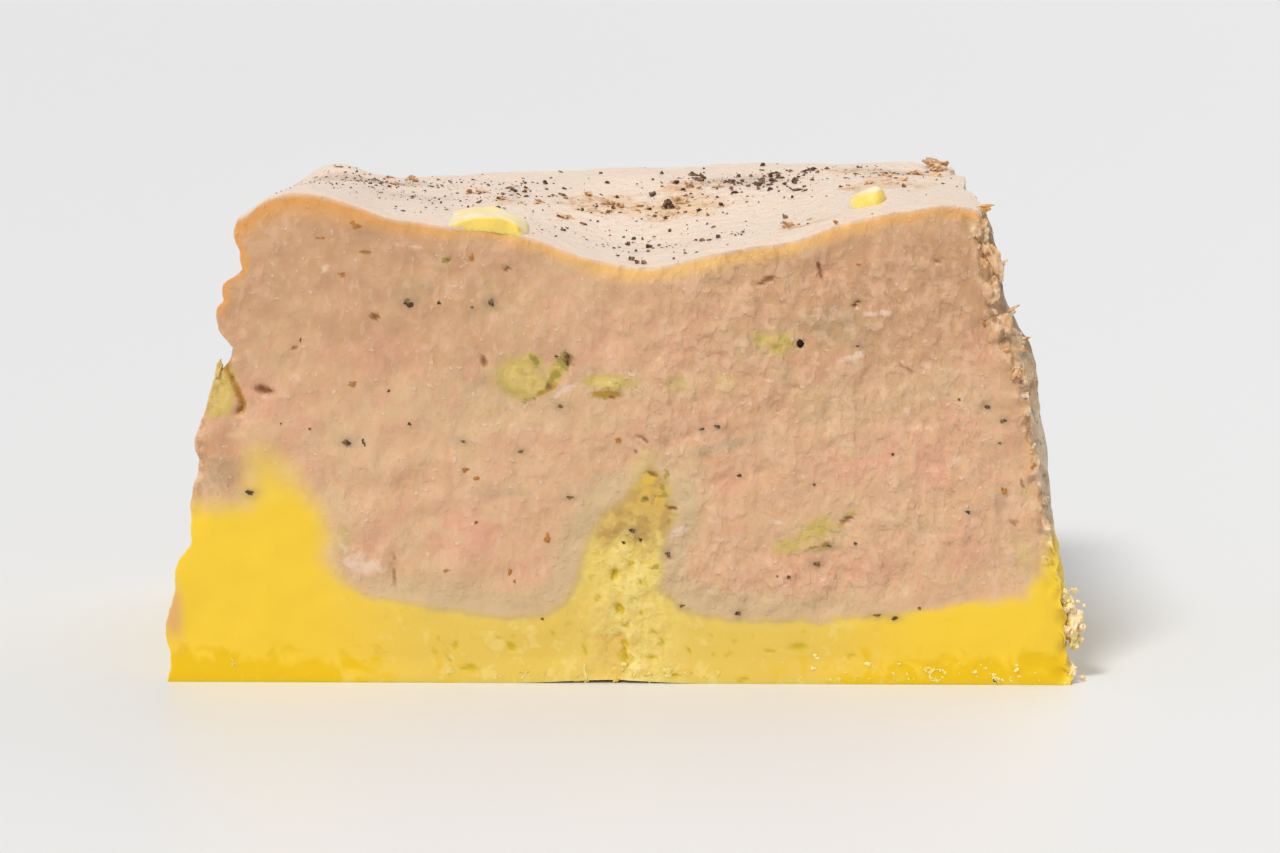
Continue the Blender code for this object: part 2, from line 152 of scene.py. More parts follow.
LEFT_LOBE_TOP = [
    (-32.9, 25.2), (-28.2, 25.4), (-20.5, 24.4), (-14.3, 22.6), (-8.0, 21.2), (-1.8, 21.0),
]
RIGHT_LOBE_TOP = [
    (7.5, 24.4), (12.7, 25.6), (18.9, 26.4), (25.1, 27.0), (32.4, 27.8), (40.1, 28.1),
    (44.5, 27.6),
]
# Boxy pit low in the fat of the cut face: left, right, bottom, top
BOXY_PIT = (-3.8, 1.2, -0.4, 5.5)
OUTSIDE = 60.0
LEFT_FAT_HEIGHT = 18.4
RIGHT_FAT_HEIGHT = 17.6
BELOW = -10.0
BORDER_STATIONS = 8

# Fat pockets in the cut face: name, centre (x, z), half sizes (x, z)
POCKETS = [
    ("fat_pocket_large", (-9.8, 32.0), (2.7, 2.3)),
    ("fat_pocket_small", (-1.2, 31.3), (1.9, 0.8)),
    ("fat_pocket_high", (16.0, 35.8), (1.8, 1.4)),
    ("fat_pocket_low", (20.2, 15.4), (3.9, 1.5)),
]

# Fat chips on the top: name, centre (x, y), half sizes (x, y), thickness
CHIPS = [
    ("fat_chip_left", (-13.6, -18.0), (4.4, 6.4), 1.2),
    ("fat_chip_right", (26.3, -12.0), (2.1, 2.6), 1.9),
]

# Tufts of torn liver that stand out of the right edge, by their tips (x, y, z), and their bits
FLAKE_TIPS = [(38.7, -22.5, 50.2), (40.3, -22.5, 44.2), (41.6, -22.0, 39.4), (42.9, -21.5, 36.2)]
TUFT_BITS = 4
# Lumps that the rim has broken into: middle (x, y, z), half sizes, turn
RIM_LUMPS = [
    ((38.7, -23.7, 44.8), (0.8, 0.4, 2.2), -0.45), ((39.3, -23.5, 37.6), (1.3, 0.4, 1.5), 0.3),
    ((41.1, -23.3, 31.6), (1.5, 0.4, 1.8), -0.3), ((37.3, -23.9, 47.6), (0.8, 0.3, 1.2), 0.4),
    ((42.2, -23.4, 24.6), (0.8, 0.3, 1.4), 0.0), ((38.4, -23.8, 41.6), (0.8, 0.3, 1.3), 0.5),
    ((42.2, -23.5, 27.6), (0.9, 0.4, 0.8), 0.6), ((44.6, -23.6, 13.2), (0.8, 0.4, 0.6), 0.7),
]
# The curl of liver beside the torn crease, in the same terms
CREASE_CURL = ((-41.3, -23.7, 33.0), (0.3, 0.4, 0.9), 0.25)

# Crumbs of fat stuck low on the right side: (x, y, z), radius
CRUMBS = [
    ((46.9, -22.3, 9.0), 0.7), ((47.5, -22.0, 7.9), 0.9), ((48.2, -22.0, 6.8), 0.9),
    ((47.7, -22.2, 5.6), 1.1), ((48.2, -21.6, 4.8), 0.7), ((47.7, -22.6, 1.2), 0.8),
]

# Coarse pepper on the top, in the same places as the plain solid's grains
PEPPER_GRAINS = 34
PEPPER_SEED = 5
PEPPER_MIDDLE = 8.0
PEPPER_SPREAD = 14.0
PEPPER_REACH = 32.0
PEPPER_RADIUS = (0.45, 0.95)
EDGE_MARGIN = 3.0
# One big grain, as middle (x, y) and half sizes
BIG_GRAIN = ((5.4, 2.0), (0.75, 0.6, 0.5))
# How far across the finer grains may lie, and how near the cut faces
DUST_REACH = 37.0
DUST_MARGIN = 0.9
# How many small crumbs and bubbles there are, and where they lie: along the broken rim by
# height and share of the depth, and along the base by x
RIM_CRUMBS = 45
RIM_CRUMB_HEIGHTS = (19.0, 50.0)
RIM_CRUMB_BACKS = (0.005, 0.08)
SIDE_CRUMBS = 10
BASE_SCRAPS = 26
BASE_SCRAP_SPAN = (-20.0, 12.0)
BASE_BUBBLES = 60
BUBBLES_FROM, BUBBLES_WIDTH = 16.0, 29.0
# How far right and how high a small bit may reach
BIT_LIMIT_X = 49.4
BIT_LIMIT_Z = 51.9
# What each draw of small bits starts from
RIM_SEED, CRUMBS_SEED, SCRAPS_SEED = 11, 23, 31
# Strands of fat that hang to the base, as middle (x, y, z) and half sizes
STRANDS = [
    ((-3.3, -24.2, 0.85), (0.28, 0.22, 0.85)), ((-17.2, -24.1, 0.7), (0.3, 0.25, 0.7)),
    ((5.4, -24.2, 1.2), (0.5, 0.3, 0.45)), ((-41.0, -24.0, 1.6), (1.1, 0.3, 0.3)),
    ((-40.2, -24.1, 1.9), (0.5, 0.3, 0.25)),
]
# Curled strands low on the right of the cut face: middle (x, z), radius; and bits round each
BASE_CURLS = [(33.6, 1.0, 0.85), (32.7, 1.5, 0.35), (39.8, 0.5, 0.3)]
CURL_BITS = 13
# Finer pepper: middle (x, y), spread (x, y), how many grains, how coarse
PEPPER_DUSTINGS = [
    ((11.5, 8.0), (3.4, 4.0), 90, 0.30), ((17.0, 6.5), (3.0, 2.2), 50, 0.33),
    ((18.5, 13.0), (3.2, 3.0), 45, 0.28), ((3.0, 2.0), (6.0, 4.0), 80, 0.20),
    ((-12.0, 5.0), (2.5, 6.0), 90, 0.20), ((-27.0, 14.0), (6.0, 2.5), 260, 0.11),
    ((-23.0, -2.0), (8.0, 8.0), 220, 0.11), ((27.0, 10.0), (6.0, 6.0), 90, 0.18),
    ((2.0, -13.0), (7.0, 4.5), 90, 0.15), ((0.0, 0.0), (24.0, 14.0), 160, 0.12),
]


# Curves, noise and masks, all on arrays of coordinates in millimetres


def ease(t):
    """Eases t, held between 0 and 1."""
    t = np.clip(t, 0.0, 1.0)
    return t * t * (3.0 - 2.0 * t)


def follow(points, at):
    """Reads a smooth curve drawn through (place, value) points."""
    places, values = (np.array(column) for column in zip(*points))
    slopes = np.gradient(values, places)
    at = np.clip(at, places[0], places[-1])
    i = np.clip(np.searchsorted(places, at, side="right") - 1, 0, len(places) - 2)
    step = places[i + 1] - places[i]
    t = (at - places[i]) / step
    rise = t * t * (3.0 - 2.0 * t)
    bend = step * (t * (1.0 - t) ** 2 * slopes[i] - t * t * (1.0 - t) * slopes[i + 1])
    return values[i] + (values[i + 1] - values[i]) * rise + bend


def wave(x, y, z, size, seed):
    """Smooth noise from about -1 to 1, in lumps about size millimetres across."""
    across = np.asarray(x, float) / size + seed
    along = np.broadcast_to(np.asarray(y, float), across.shape) / size + 0.3 * seed
    up = np.broadcast_to(np.asarray(z, float), across.shape) / size - seed
    spots = np.stack([across, along, up], -1).reshape(-1, 3).tolist()
    return np.array([noise.noise(spot) for spot in spots]).reshape(across.shape)


def mound(x, back, spot):
    """The height that a lump or pit adds to the top."""
    (middle_x, middle_back), (half_x, half_back), height = spot
    away = ((x - middle_x) / half_x) ** 2 + ((back - middle_back) / half_back) ** 2
    return height * np.exp(-away)


def distance_to(line, x, z):
    """How far each point is from a line drawn through (x, z) points."""
    nearest = np.full(x.shape, np.inf)
    for (ax, az), (bx, bz) in zip(line, line[1:]):
        along_x, along_z = bx - ax, bz - az
        t = ((x - ax) * along_x + (z - az) * along_z) / (along_x**2 + along_z**2)
        t = np.clip(t, 0.0, 1.0)
        nearest = np.minimum(nearest, np.hypot(x - ax - t * along_x, z - az - t * along_z))
    return nearest


def inside(outline, x, z):
    """Whether each point is inside a closed outline of (x, z) points."""
    crossed = np.zeros(x.shape, bool)
    for (ax, az), (bx, bz) in zip(outline, outline[1:] + outline[:1]):
        if az == bz:
            continue
        level = (z >= min(az, bz)) & (z < max(az, bz))
        crossed ^= level & (x < ax + (z - az) * (bx - ax) / (bz - az))
    return crossed


# The whole block, before it is parted


def moulded_x(z):
    """Half the width that the mould gives the block at a height."""
    return BASE_WIDTH / 2 - (BASE_WIDTH - TOP_WIDTH) / 2 * z / HEIGHT


def left_x(z, back):
    """The left side's x at a height, from the cut face (back 0) to the far face (back 1)."""
    near = follow(LEFT_EDGE, z)
    return near + (-moulded_x(z) - near) * ease(back * 5.0)


def right_x(z, back):
    """The right side's x, which stands out behind the broken rim of the cut face."""
    near = follow(RIGHT_EDGE, z)
    rim = near + (follow(RIGHT_SIDE, z) - near) * ease(back * 12.0)
    return rim + (moulded_x(z) - rim) * ease(back * 2.5 - 0.4)


def top_z(x, back):
    """Height of the top, a hollow that is deepest at the cut face."""
    near = follow(TOP_EDGE, x)
    height = near + (follow(BACK_TOP_EDGE, x) - near) * ease(back * 1.1)
    return height + mound(x, back, TOP_LUMP) + mound(x, back, TOP_PIT)


def top_waves(x, y):
    """The small rise and fall of the top."""
    return 0.45 * wave(x, y, 0.0, 10.0, 8.3) + 0.2 * wave(x, y, 0.0, 3.4, 2.9)


def top_surface(x, y):
    """Height of the top, with its small rise and fall."""
    return top_z(x, y / DEPTH + 0.5) + top_waves(x, y)


def base_z(x, back):
    """Height of the base, flat but for the low hollow at the cut face."""
    middle, half_width, height = BASE_HOLLOW
    across = ease(1.0 - np.abs((x - middle) / half_width))
    return height * across * ease(1.0 - back * 5.0)


def crumbly(x, z):
    """How crumbly the fat is, from 0 to 1: the strip between the lower lobes."""
    middle, half_width, top, _ = CRUMBLY_SEAM
    return np.exp(-(((x - middle) / half_width) ** 2)) * ease((top - z) / 6.0)


def cut_relief(x, y, z):
    """How far a cut face sinks in: soft crags, fainter in the fat, and pits in the crumbly seam."""
    calm = 1.0 - 0.6 * ease(0.75 + 0.3 * fat_depth(x, z))
    soft = 0.35 + calm * (0.4 * wave(x, y, z, 6.5, 12.1) + 0.3 * wave(x, y, z, 2.6, 6.6))
    return soft + CRUMBLY_SEAM[3] * crumbly(x, z) * np.abs(wave(x, y, z, 2.4, 9.9))


def flaky(x, z):
    """How flaky the cut liver is, from 0 to 1: most on the right, least where the knife slid."""
    return (0.5 + 0.4 * ease((x + 6.0) / 14.0)) * (1.0 - 0.75 * patches(SMOOTH_PATCHES, x, z))


def ledges(x, y, z, size, seed, share):
    """Torn ledges about size millimetres across: 1 where they have come away, 0 elsewhere."""
    rough = wave(1.2 * x, y, 0.8 * z, size, seed) + 0.5 * wave(x, y, z, 0.37 * size, seed + 3.1)
    return ease(3.0 * rough + share)


def shaken(x, z):
    """Each place moved a little, so that small shapes drawn there come out ragged."""
    return x + 0.35 * wave(x, 0.0, z, 0.9, 21.0), z + 0.35 * wave(x, 0.0, z, 0.8, 35.0)


def boxy_pit(x, z):
    """How deep the boxy pit in the fat is: deepest along its right."""
    left, right, low, high = BOXY_PIT
    x = x + 0.7 * wave(0.0 * x, 0.0, z, 1.6, 4.4)
    z = z + 0.8 * wave(x, 0.0, 0.0 * z, 1.8, 6.1)
    walls = ease((x - left) / 0.7) * ease((right - x) / 0.5) * ease((z - low) / 0.5)
    return walls * ease((high - z) / 0.8) * (0.15 + 0.3 * ease((x - left) / (right - left)))


def rim_break(x, z):
    """How far the rim of the cut face has broken away, from 0 to 1: the right and lower left."""
    right = ease(1.0 - (right_x(z, 0.0 * z) - x) / 2.4)
    left = ease(1.0 - (x - left_x(z, 0.0 * z)) / 1.8)
    low_left = left * ease((37.0 - z) / 4.0) * ease((z - 14.0) / 4.0)
    return np.maximum(right, 0.6 * low_left)


def in_crease(x, z, soft):
    """Where the torn crease is: 1 inside it, easing to 0 at its edge over so many millimetres."""
    return ease(distance_to(CREASE + CREASE[:1], x, z) / soft) * inside(CREASE, x, z)


def fine_relief(x, y, z):
    """Finer crags of the cut faces, which sink them in a little more."""
    seam, flakes, depth = crumbly(x, z), flaky(x, z), fat_depth(x, z)
    in_fat = ease(0.75 + 0.3 * depth)
    sink = 0.18 * ledges(x, y, z, 3.4, 17.3, 0.2) + 0.15 * ledges(x, y, z, 1.6, 44.3, 0.1)
    sink += 0.10 * ledges(x, y, z, *LIVER_LEDGES)
    sink = (flakes * sink + 0.03 * wave(x, y, z, 0.8, 3.9)) * (1.0 - 0.95 * in_fat)
    sink += seam * (0.15 * ledges(x, y, z, 1.7, 31.0, 0.0) + 0.10 * ledges(x, y, z, *SEAM_LEDGES))
    sink += rim_break(x, z) * (0.2 + 1.3 * np.abs(wave(x, y, z, 1.7, 27.0)))
    near = shaken(x, z)
    holes = [share * depth * ease(1.8 * patches([(middle, half, tilt, 1.0)], *near) - 0.4)
             for spots, share in ((HOLES, HOLE_DEPTH), (SEAM_PITS, PIT_DEPTH))
             for middle, half, tilt, depth in spots]
    pits = [*holes, CREASE_DEPTH * in_crease(x, z, 0.35), boxy_pit(x, z)]
    return sink + np.max(pits, axis=0) * (y < 0.0)


def front_y(x, z):
    """Where the front cut face lies, with all its crags."""
    y = np.full(x.shape, FRONT)
    soft = cut_relief(x, y, z) * ease(z / FOOT)
    return y + soft + fine_relief(x, y, z) * ease(z / FINE_FOOT)


def side_bulge(x, y, z, back):
    """How far the moulded sides swell behind the cut face, and its torn edges fray."""
    bulge = 0.7 * wave(x, y, z, 9.0, 1.7) + 0.35 * wave(x, y, z, 3.2, 4.1)
    fray = 0.25 * wave(x, y, z, 1.8, 2.6) + 0.2 * wave(x, y, z, 0.9, 8.8)
    ragged = 0.55 * wave(x, y, z, 1.3, 19.0) * (x > 0.0)
    return bulge * ease(back * 6.0) + (fray + ragged) * (1.0 - ease(back * 7.0))


def block_points(across, back, up):
    """Maps points of the unit cube, each coordinate from 0 to 1, to the block."""
    z = up * HEIGHT
    left, right = left_x(z, back), right_x(z, back)
    x = left + (right - left) * across
    floor, ceiling = base_z(x, back), top_z(x, back)
    z = floor + (ceiling - floor) * up
    y = DEPTH * (back - 0.5)
    near_side = np.abs(2.0 * across - 1.0) ** 8
    x = x + near_side * side_bulge(x, y, z, back)
    z = z + up**8 * top_waves(x, y)
    end = np.minimum(back, 1.0 - back)
    inwards = np.where(back < 0.5, 1.0, -1.0)
    face = end < FINE_REACH
    face_y = np.where(back < 0.5, FRONT, -FRONT)
    fine = np.zeros(x.shape)
    fine[face] = fine_relief(x[face], face_y[face], z[face]) * (1.0 - end[face]) ** 30
    soft = cut_relief(x, face_y, z) * (1.0 - end) ** 12
    y = y + inwards * (soft * ease(z / FOOT) + fine * ease(z / FINE_FOOT))
    return np.stack([x, y, z], -1)


def block_mesh():
    """The whole block as one closed mesh, with its crags, dip and torn edges."""
    bm = bmesh.new()
    bmesh.ops.create_cube(bm, size=1.0)
    for axis, cells in enumerate(CELLS):
        along = [e for e in bm.edges if abs((e.verts[0].co - e.verts[1].co)[axis]) > 0.5]
        bmesh.ops.subdivide_edges(bm, edges=along, cuts=cells - 1, use_grid_fill=True)
    mesh = finish_mesh(bm, "block")
    share = read_points(mesh) + 0.5
    back = share[:, 1] - ROWS_CROWD * np.sin(2.0 * math.pi * share[:, 1]) / (2.0 * math.pi)
    write_points(mesh, block_points(share[:, 0], back, share[:, 2]) * MM)
    return mesh


# Mesh and object helpers


def read_points(mesh):
    """A mesh's points as an array."""
    flat = np.empty(len(mesh.vertices) * 3)
    mesh.vertices.foreach_get("co", flat)
    return flat.reshape(-1, 3)


def write_points(mesh, points):
    """Moves a mesh's points."""
    mesh.vertices.foreach_set("co", points.ravel())
    mesh.update()


def finish_mesh(bm, name):
    """Turns a bmesh into a named mesh whose faces point out."""
    bm.normal_update()
    bmesh.ops.recalc_face_normals(bm, faces=bm.faces)
    mesh = bpy.data.meshes.new(name)
    bm.to_mesh(mesh)
    bm.free()
    return mesh


def add_object(name, data):
    """Links a mesh, a camera or a lamp as a named object."""
    made = bpy.data.objects.new(name, data)
    bpy.context.scene.collection.objects.link(made)
    return made


def keep_inside(made, other):
    """Keeps what of one object lies inside another, and removes the other."""
    modifier = made.modifiers.new("cut", "BOOLEAN")
    modifier.operation = "INTERSECT"
    modifier.solver = "MANIFOLD"
    modifier.object = other
    graph = bpy.context.evaluated_depsgraph_get()
    shaped = bpy.data.meshes.new_from_object(made.evaluated_get(graph))
    made.modifiers.clear()
    made.data = shaped
    bpy.data.objects.remove(other)


def shade_smooth(mesh, angle=50.0):
    """Shades a mesh smooth but for its sharp edges."""
    mesh.shade_smooth()
    mesh.set_sharp_from_angle(angle=math.radians(angle))


# Zones that part the block into its pieces


def drift(x, y, z):
    """How far the borders between pieces wander, aside and up, behind the cut face."""
    back = ease((y / DEPTH + 0.5) * 2.0)
    aside = 3.2 * back * wave(0.5 * x, y, 0.5 * z, 21.0, 3.3)
    up = 2.4 * back * wave(0.5 * x, y, 0.5 * z, 24.0, 7.7)
    return aside, up


def zone(outline):
    """A wavy prism through the block's depth, which holds one piece of it."""
    reach = DEPTH + 6.0
    bm = bmesh.new()
    cap = bm.faces.new([bm.verts.new((x, -reach / 2, z)) for x, z in outline])
    for station in range(BORDER_STATIONS):
        grown = bmesh.ops.extrude_face_region(bm, geom=[cap])["geom"]
        if station:
            bmesh.ops.delete(bm, geom=[cap], context="FACES_ONLY")
        cap = next(item for item in grown if isinstance(item, bmesh.types.BMFace))
        bmesh.ops.translate(bm, verts=cap.verts, vec=(0.0, reach / BORDER_STATIONS, 0.0))
    bmesh.ops.triangulate(bm, faces=bm.faces)
    mesh = finish_mesh(bm, "zone")
    points = read_points(mesh)
    aside, up = drift(*points.T)
    write_points(mesh, (points + np.stack([aside, np.zeros(aside.shape), up], -1)) * MM)
    return add_object("zone", mesh)


# The border between liver and fat, right through the block, and the outlines on either side
FAT_BORDER = [
    (-OUTSIDE, LEFT_FAT_HEIGHT), *LEFT_SHOULDER, FAT_PEAK, *UNDER_LEFT_LOBE, SEAM_TOP,
    *UNDER_RIGHT_LOBE, (OUTSIDE, RIGHT_FAT_HEIGHT),
]
FAT_OUTLINE = [(-OUTSIDE, BELOW), (OUTSIDE, BELOW), *reversed(FAT_BORDER)]
LIVER_OUTLINE = [*FAT_BORDER, (OUTSIDE, OUTSIDE), (-OUTSIDE, OUTSIDE)]


# Patches of colour on the cut face: middle (x, z), half sizes (x, z), tilt in degrees, strength
ROSY_PATCHES = [
    ((-24.0, 35.0), (4.5, 3.6), 10, 0.8), ((-29.0, 42.0), (5.0, 3.0), 0, 0.5),
    ((-33.5, 28.0), (4.0, 3.0), -20, 0.5), ((-15.5, 16.0), (7.0, 4.5), 0, 0.7),
    ((-6.0, 11.5), (3.5, 3.5), 0, 0.4), ((-2.0, 35.5), (7.0, 3.0), 0, 0.5),
    ((24.0, 43.0), (9.0, 3.0), 15, 0.6), ((29.0, 24.0), (8.5, 3.4), 8, 0.8),
    ((36.0, 15.0), (5.0, 4.0), 0, 0.4), ((24.0, 11.5), (9.0, 2.4), 0, 0.6),
    ((10.0, 22.5), (5.0, 2.0), 12, 0.3), ((37.0, 36.5), (2.6, 4.5), 20, 0.8),
    ((3.0, 27.0), (7.0, 1.8), 0, 0.5), ((-31.5, 11.5), (2.4, 2.2), 0, 0.6),
]
SAND_PATCHES = [
    ((-14.0, 30.0), (13.0, 5.0), -3, 1.0), ((-36.0, 35.0), (3.6, 4.5), 0, 0.8),
    ((-34.5, 43.0), (3.0, 3.0), 0, 0.6), ((-9.0, 40.0), (9.0, 3.6), -8, 0.6),
    ((14.0, 36.0), (8.0, 3.4), 8, 0.7), ((32.0, 31.5), (8.0, 2.6), 8, 0.7),
    ((-37.0, 26.5), (4.0, 2.4), 0, 0.5), ((20.0, 17.0), (8.0, 3.0), 14, 0.5),
    ((3.0, 31.5), (9.0, 2.4), 0, 0.7), ((-41.0, 22.0), (3.0, 3.0), 0, 0.6),
]
BROWN_PATCHES = [
    ((30.0, 44.0), (9.0, 4.0), 10, 0.9), ((38.0, 40.0), (3.0, 6.0), 12, 0.8),
    ((12.0, 40.5), (8.0, 2.6), 5, 0.5), ((-1.0, 41.0), (7.0, 2.0), -5, 0.4),
    ((18.0, 21.0), (6.0, 2.2), 10, 0.4), ((42.0, 26.0), (2.0, 4.0), 10, 0.5),
    ((-41.5, 23.0), (3.6, 5.0), 0, 0.95), ((8.0, 17.0), (3.0, 4.0), 0, 0.4),
]
GREY_PATCHES = [
    ((-21.0, 41.6), (3.4, 1.5), 8, 0.9), ((-15.0, 41.3), (4.0, 1.5), -4, 0.5),
    ((-12.0, 20.2), (8.0, 0.8), 3, 0.6), ((-2.5, 20.4), (5.0, 0.8), -3, 0.6),
    ((11.5, 25.3), (6.5, 0.9), 14, 0.8), ((-7.2, 16.0), (1.6, 3.4), 5, 0.5),
    ((28.5, 20.5), (3.0, 3.6), 20, 0.4), ((40.0, 19.0), (2.2, 3.6), 0, 0.6),
    ((28.0, 34.3), (4.4, 0.8), 8, 0.6), ((-41.5, 22.0), (3.2, 3.2), 20, 0.7),
    ((-17.5, 30.8), (2.6, 0.9), 10, 0.4), ((38.0, 30.3), (2.2, 1.4), 0, 0.6),
    ((-25.5, 25.6), (3.8, 0.7), 0, 0.5), ((21.0, 37.0), (2.0, 2.6), -30, 0.5),
    ((13.0, 10.0), (8.0, 2.4), 0, 0.3), ((33.0, 31.0), (4.0, 0.5), -14, 0.6),
    ((22.6, 38.0), (4.2, 2.4), -10, 1.1),
]
YELLOW_PATCHES = [
    ((-12.5, 32.2), (2.0, 2.6), 0, 0.7), ((-1.0, 32.0), (3.4, 1.1), 0, 0.7),
    ((6.3, 31.7), (1.9, 1.3), 0, 1.0), ((11.1, 31.8), (1.6, 1.4), 0, 1.0),
    ((16.2, 36.0), (2.8, 2.0), 10, 0.8), ((24.0, 36.4), (2.6, 1.5), 30, 0.5),
    ((20.4, 15.0), (5.0, 2.0), 14, 0.7), ((-13.5, 28.8), (3.6, 0.7), 14, 0.6),
    ((2.6, 23.0), (1.6, 3.6), -20, 0.8), ((42.5, 14.0), (1.4, 3.0), -8, 0.8),
    ((-41.2, 31.2), (1.8, 2.8), 0, 1.0), ((-28.6, 15.3), (1.3, 2.0), 0, 1.0),
    ((14.0, 15.6), (4.0, 1.0), 0, 0.4), ((42.6, 20.5), (1.2, 4.0), 0, 0.5),
    ((-44.0, 29.0), (0.8, 3.0), 0, 0.5), ((4.6, 16.0), (1.0, 4.0), 0, 0.5),
    ((-14.0, 30.4), (2.4, 0.7), 6, 0.6), ((22.4, 36.4), (1.6, 1.2), 0, 0.5),
]
# Pale smears of liver, the fat that shows through in pockets, and its olive and amber parts
PALE_PATCHES = [
    ((6.9, 16.2), (2.0, 0.5), 22, 1.0), ((10.5, 17.4), (1.2, 0.3), 20, 0.7),
    ((-5.2, 31.1), (2.1, 0.5), 28, 0.9), ((-3.0, 32.5), (1.2, 0.4), 25, 0.7),
    ((26.6, 39.2), (2.0, 0.4), 5, 1.1), ((24.4, 34.7), (1.8, 0.5), 15, 0.9),
    ((10.4, 32.7), (1.4, 0.4), 10, 0.6), ((-33.0, 29.4), (2.2, 1.2), 20, 0.6),
    ((-30.2, 43.6), (1.1, 0.4), 50, 0.6), ((-26.9, 12.6), (3.2, 1.6), -25, 0.8),
    ((33.5, 33.5), (2.6, 0.5), -10, 0.6), ((-9.2, 26.8), (2.4, 0.4), 8, 0.5),
    ((16.0, 17.2), (2.2, 0.3), -4, 0.7), ((0.2, 17.2), (0.22, 1.5), -32, 1.0),
    ((30.0, 29.0), (1.6, 0.4), 12, 0.6), ((14.5, 29.6), (1.6, 0.35), 4, 0.5),
    ((-20.8, 46.0), (2.6, 0.25), -4, 0.6), ((35.0, 24.0), (1.4, 0.4), 30, 0.6),
]
POCKET_PATCHES = [
    ((-9.9, 32.3), (2.8, 2.4), -15, 1.0), ((-8.6, 31.3), (2.3, 1.2), 22, 1.0),
    ((-6.3, 33.0), (0.8, 2.0), -28, 1.0), ((-8.7, 34.3), (1.5, 0.7), -15, 0.9),
    ((-41.5, 31.0), (1.9, 3.0), -8, 1.3),
    ((-0.9, 31.9), (3.0, 0.8), -3, 1.0), ((16.8, 36.0), (2.0, 1.3), -25, 0.75),
    ((14.8, 36.5), (1.5, 1.1), 0, 0.6), ((17.6, 14.6), (2.6, 1.1), 6, 0.6),
    ((20.8, 16.4), (3.0, 1.4), 28, 0.65), ((24.3, 18.0), (1.5, 0.8), 30, 0.55),
]
OLIVE_PATCHES = [
    ((-5.5, 34.0), (1.1, 1.0), -20, 1.0), ((-8.6, 34.2), (0.8, 0.4), -40, 1.0),
    ((-6.6, 32.4), (0.55, 1.7), -32, 0.9), ((3.6, 22.3), (0.7, 0.25), -14, 1.0),
    ((-9.0, 30.1), (1.7, 0.3), 16, 0.7), ((-1.0, 31.2), (2.0, 0.22), 0, 0.5),
    ((-17.7, 44.6), (0.7, 0.35), 25, 0.9), ((4.6, 20.9), (0.35, 1.3), 20, 0.7),
    ((5.1, 22.2), (0.25, 0.6), -10, 1.0), ((2.9, 19.6), (0.45, 0.45), 0, 1.0),
    ((4.5, 19.9), (0.9, 0.2), 5, 0.9), ((5.6, 18.7), (0.7, 0.22), -5, 1.0),
    ((5.3, 17.2), (0.6, 0.8), 0, 0.5), ((3.9, 12.4), (0.8, 0.35), 5, 0.9),
    ((-1.6, 12.9), (0.8, 0.25), 20, 0.6), ((5.4, 13.5), (0.5, 0.15), 0, 1.0),
    ((20.6, 14.6), (0.7, 0.22), 0, 0.7), ((0.4, 20.4), (1.1, 0.3), 0, 0.4),
]
AMBER_PATCHES = [
    ((-7.6, 30.9), (1.6, 0.35), 30, 0.9), ((-6.7, 31.4), (0.7, 0.4), 40, 1.0),
    ((-1.1, 30.6), (2.1, 0.55), 2, 1.1), ((23.6, 17.1), (1.5, 0.4), 32, 0.7),
    ((1.4, 16.4), (1.9, 1.2), 0, 0.4), ((21.7, 14.8), (0.7, 0.5), 30, 0.9),
    ((-25.0, 38.8), (0.6, 0.3), 5, 1.0), ((1.3, 20.3), (1.0, 0.4), 5, 0.4),
    ((-40.4, 20.9), (0.9, 0.14), 45, 0.9), ((-41.6, 20.0), (0.14, 0.6), 0, 0.7),
    ((-41.3, 31.0), (1.5, 2.4), 0, 0.46),
]
# Parts of the cut face that the knife left smooth, and the tan skin low on its left edge
SMOOTH_PATCHES = [
    ((-29.0, 41.0), (11.0, 9.0), 0, 1.0), ((-25.0, 30.5), (9.0, 6.0), 0, 0.8),
    ((-15.0, 14.5), (9.0, 6.5), 0, 0.35), ((36.0, 12.0), (6.0, 3.0), 0, 0.4),
    ((-4.0, 43.0), (8.0, 2.5), -8, 0.5), ((28.0, 47.0), (10.0, 2.0), 8, 0.6),
    ((16.0, 19.5), (9.0, 6.0), 10, 0.45), ((40.5, 26.0), (3.0, 8.0), 10, 0.5),
]
TAN_PATCHES = [((-46.8, 8.0), (1.5, 3.8), 5, 1.0), ((-45.3, 15.0), (1.0, 1.6), 0, 0.6)]
# Patches on the top, as middle (x, y) and so on: torn liver, and stains of pepper juice
TORN_PATCHES = [
    ((-2.0, 2.5), (6.0, 4.0), 10, 1.1), ((6.5, 1.5), (6.5, 4.5), -10, 1.1),
    ((7.0, 8.0), (4.0, 3.0), 0, 0.9), ((29.0, 1.0), (7.0, 6.0), 0, 0.8),
    ((29.0, 14.0), (8.0, 4.0), 0, 0.8), ((-12.5, -2.0), (2.0, 4.0), 0, 0.7),
    ((20.0, -17.0), (5.0, 2.5), 10, 0.6), ((-23.0, 10.0), (6.0, 4.0), 0, 0.5),
]
STAIN_PATCHES = [
    ((-29.0, 13.5), (8.0, 2.8), 0, 1.2), ((13.0, 9.5), (7.0, 4.5), 10, 0.9),
    ((32.0, 13.0), (6.5, 6.0), 0, 0.9), ((-24.0, -2.0), (10.0, 9.0), 0, 0.6),
    ((-12.0, 4.0), (2.5, 7.0), 0, 0.6), ((3.0, -14.0), (9.0, 4.0), 0, 0.45),
]
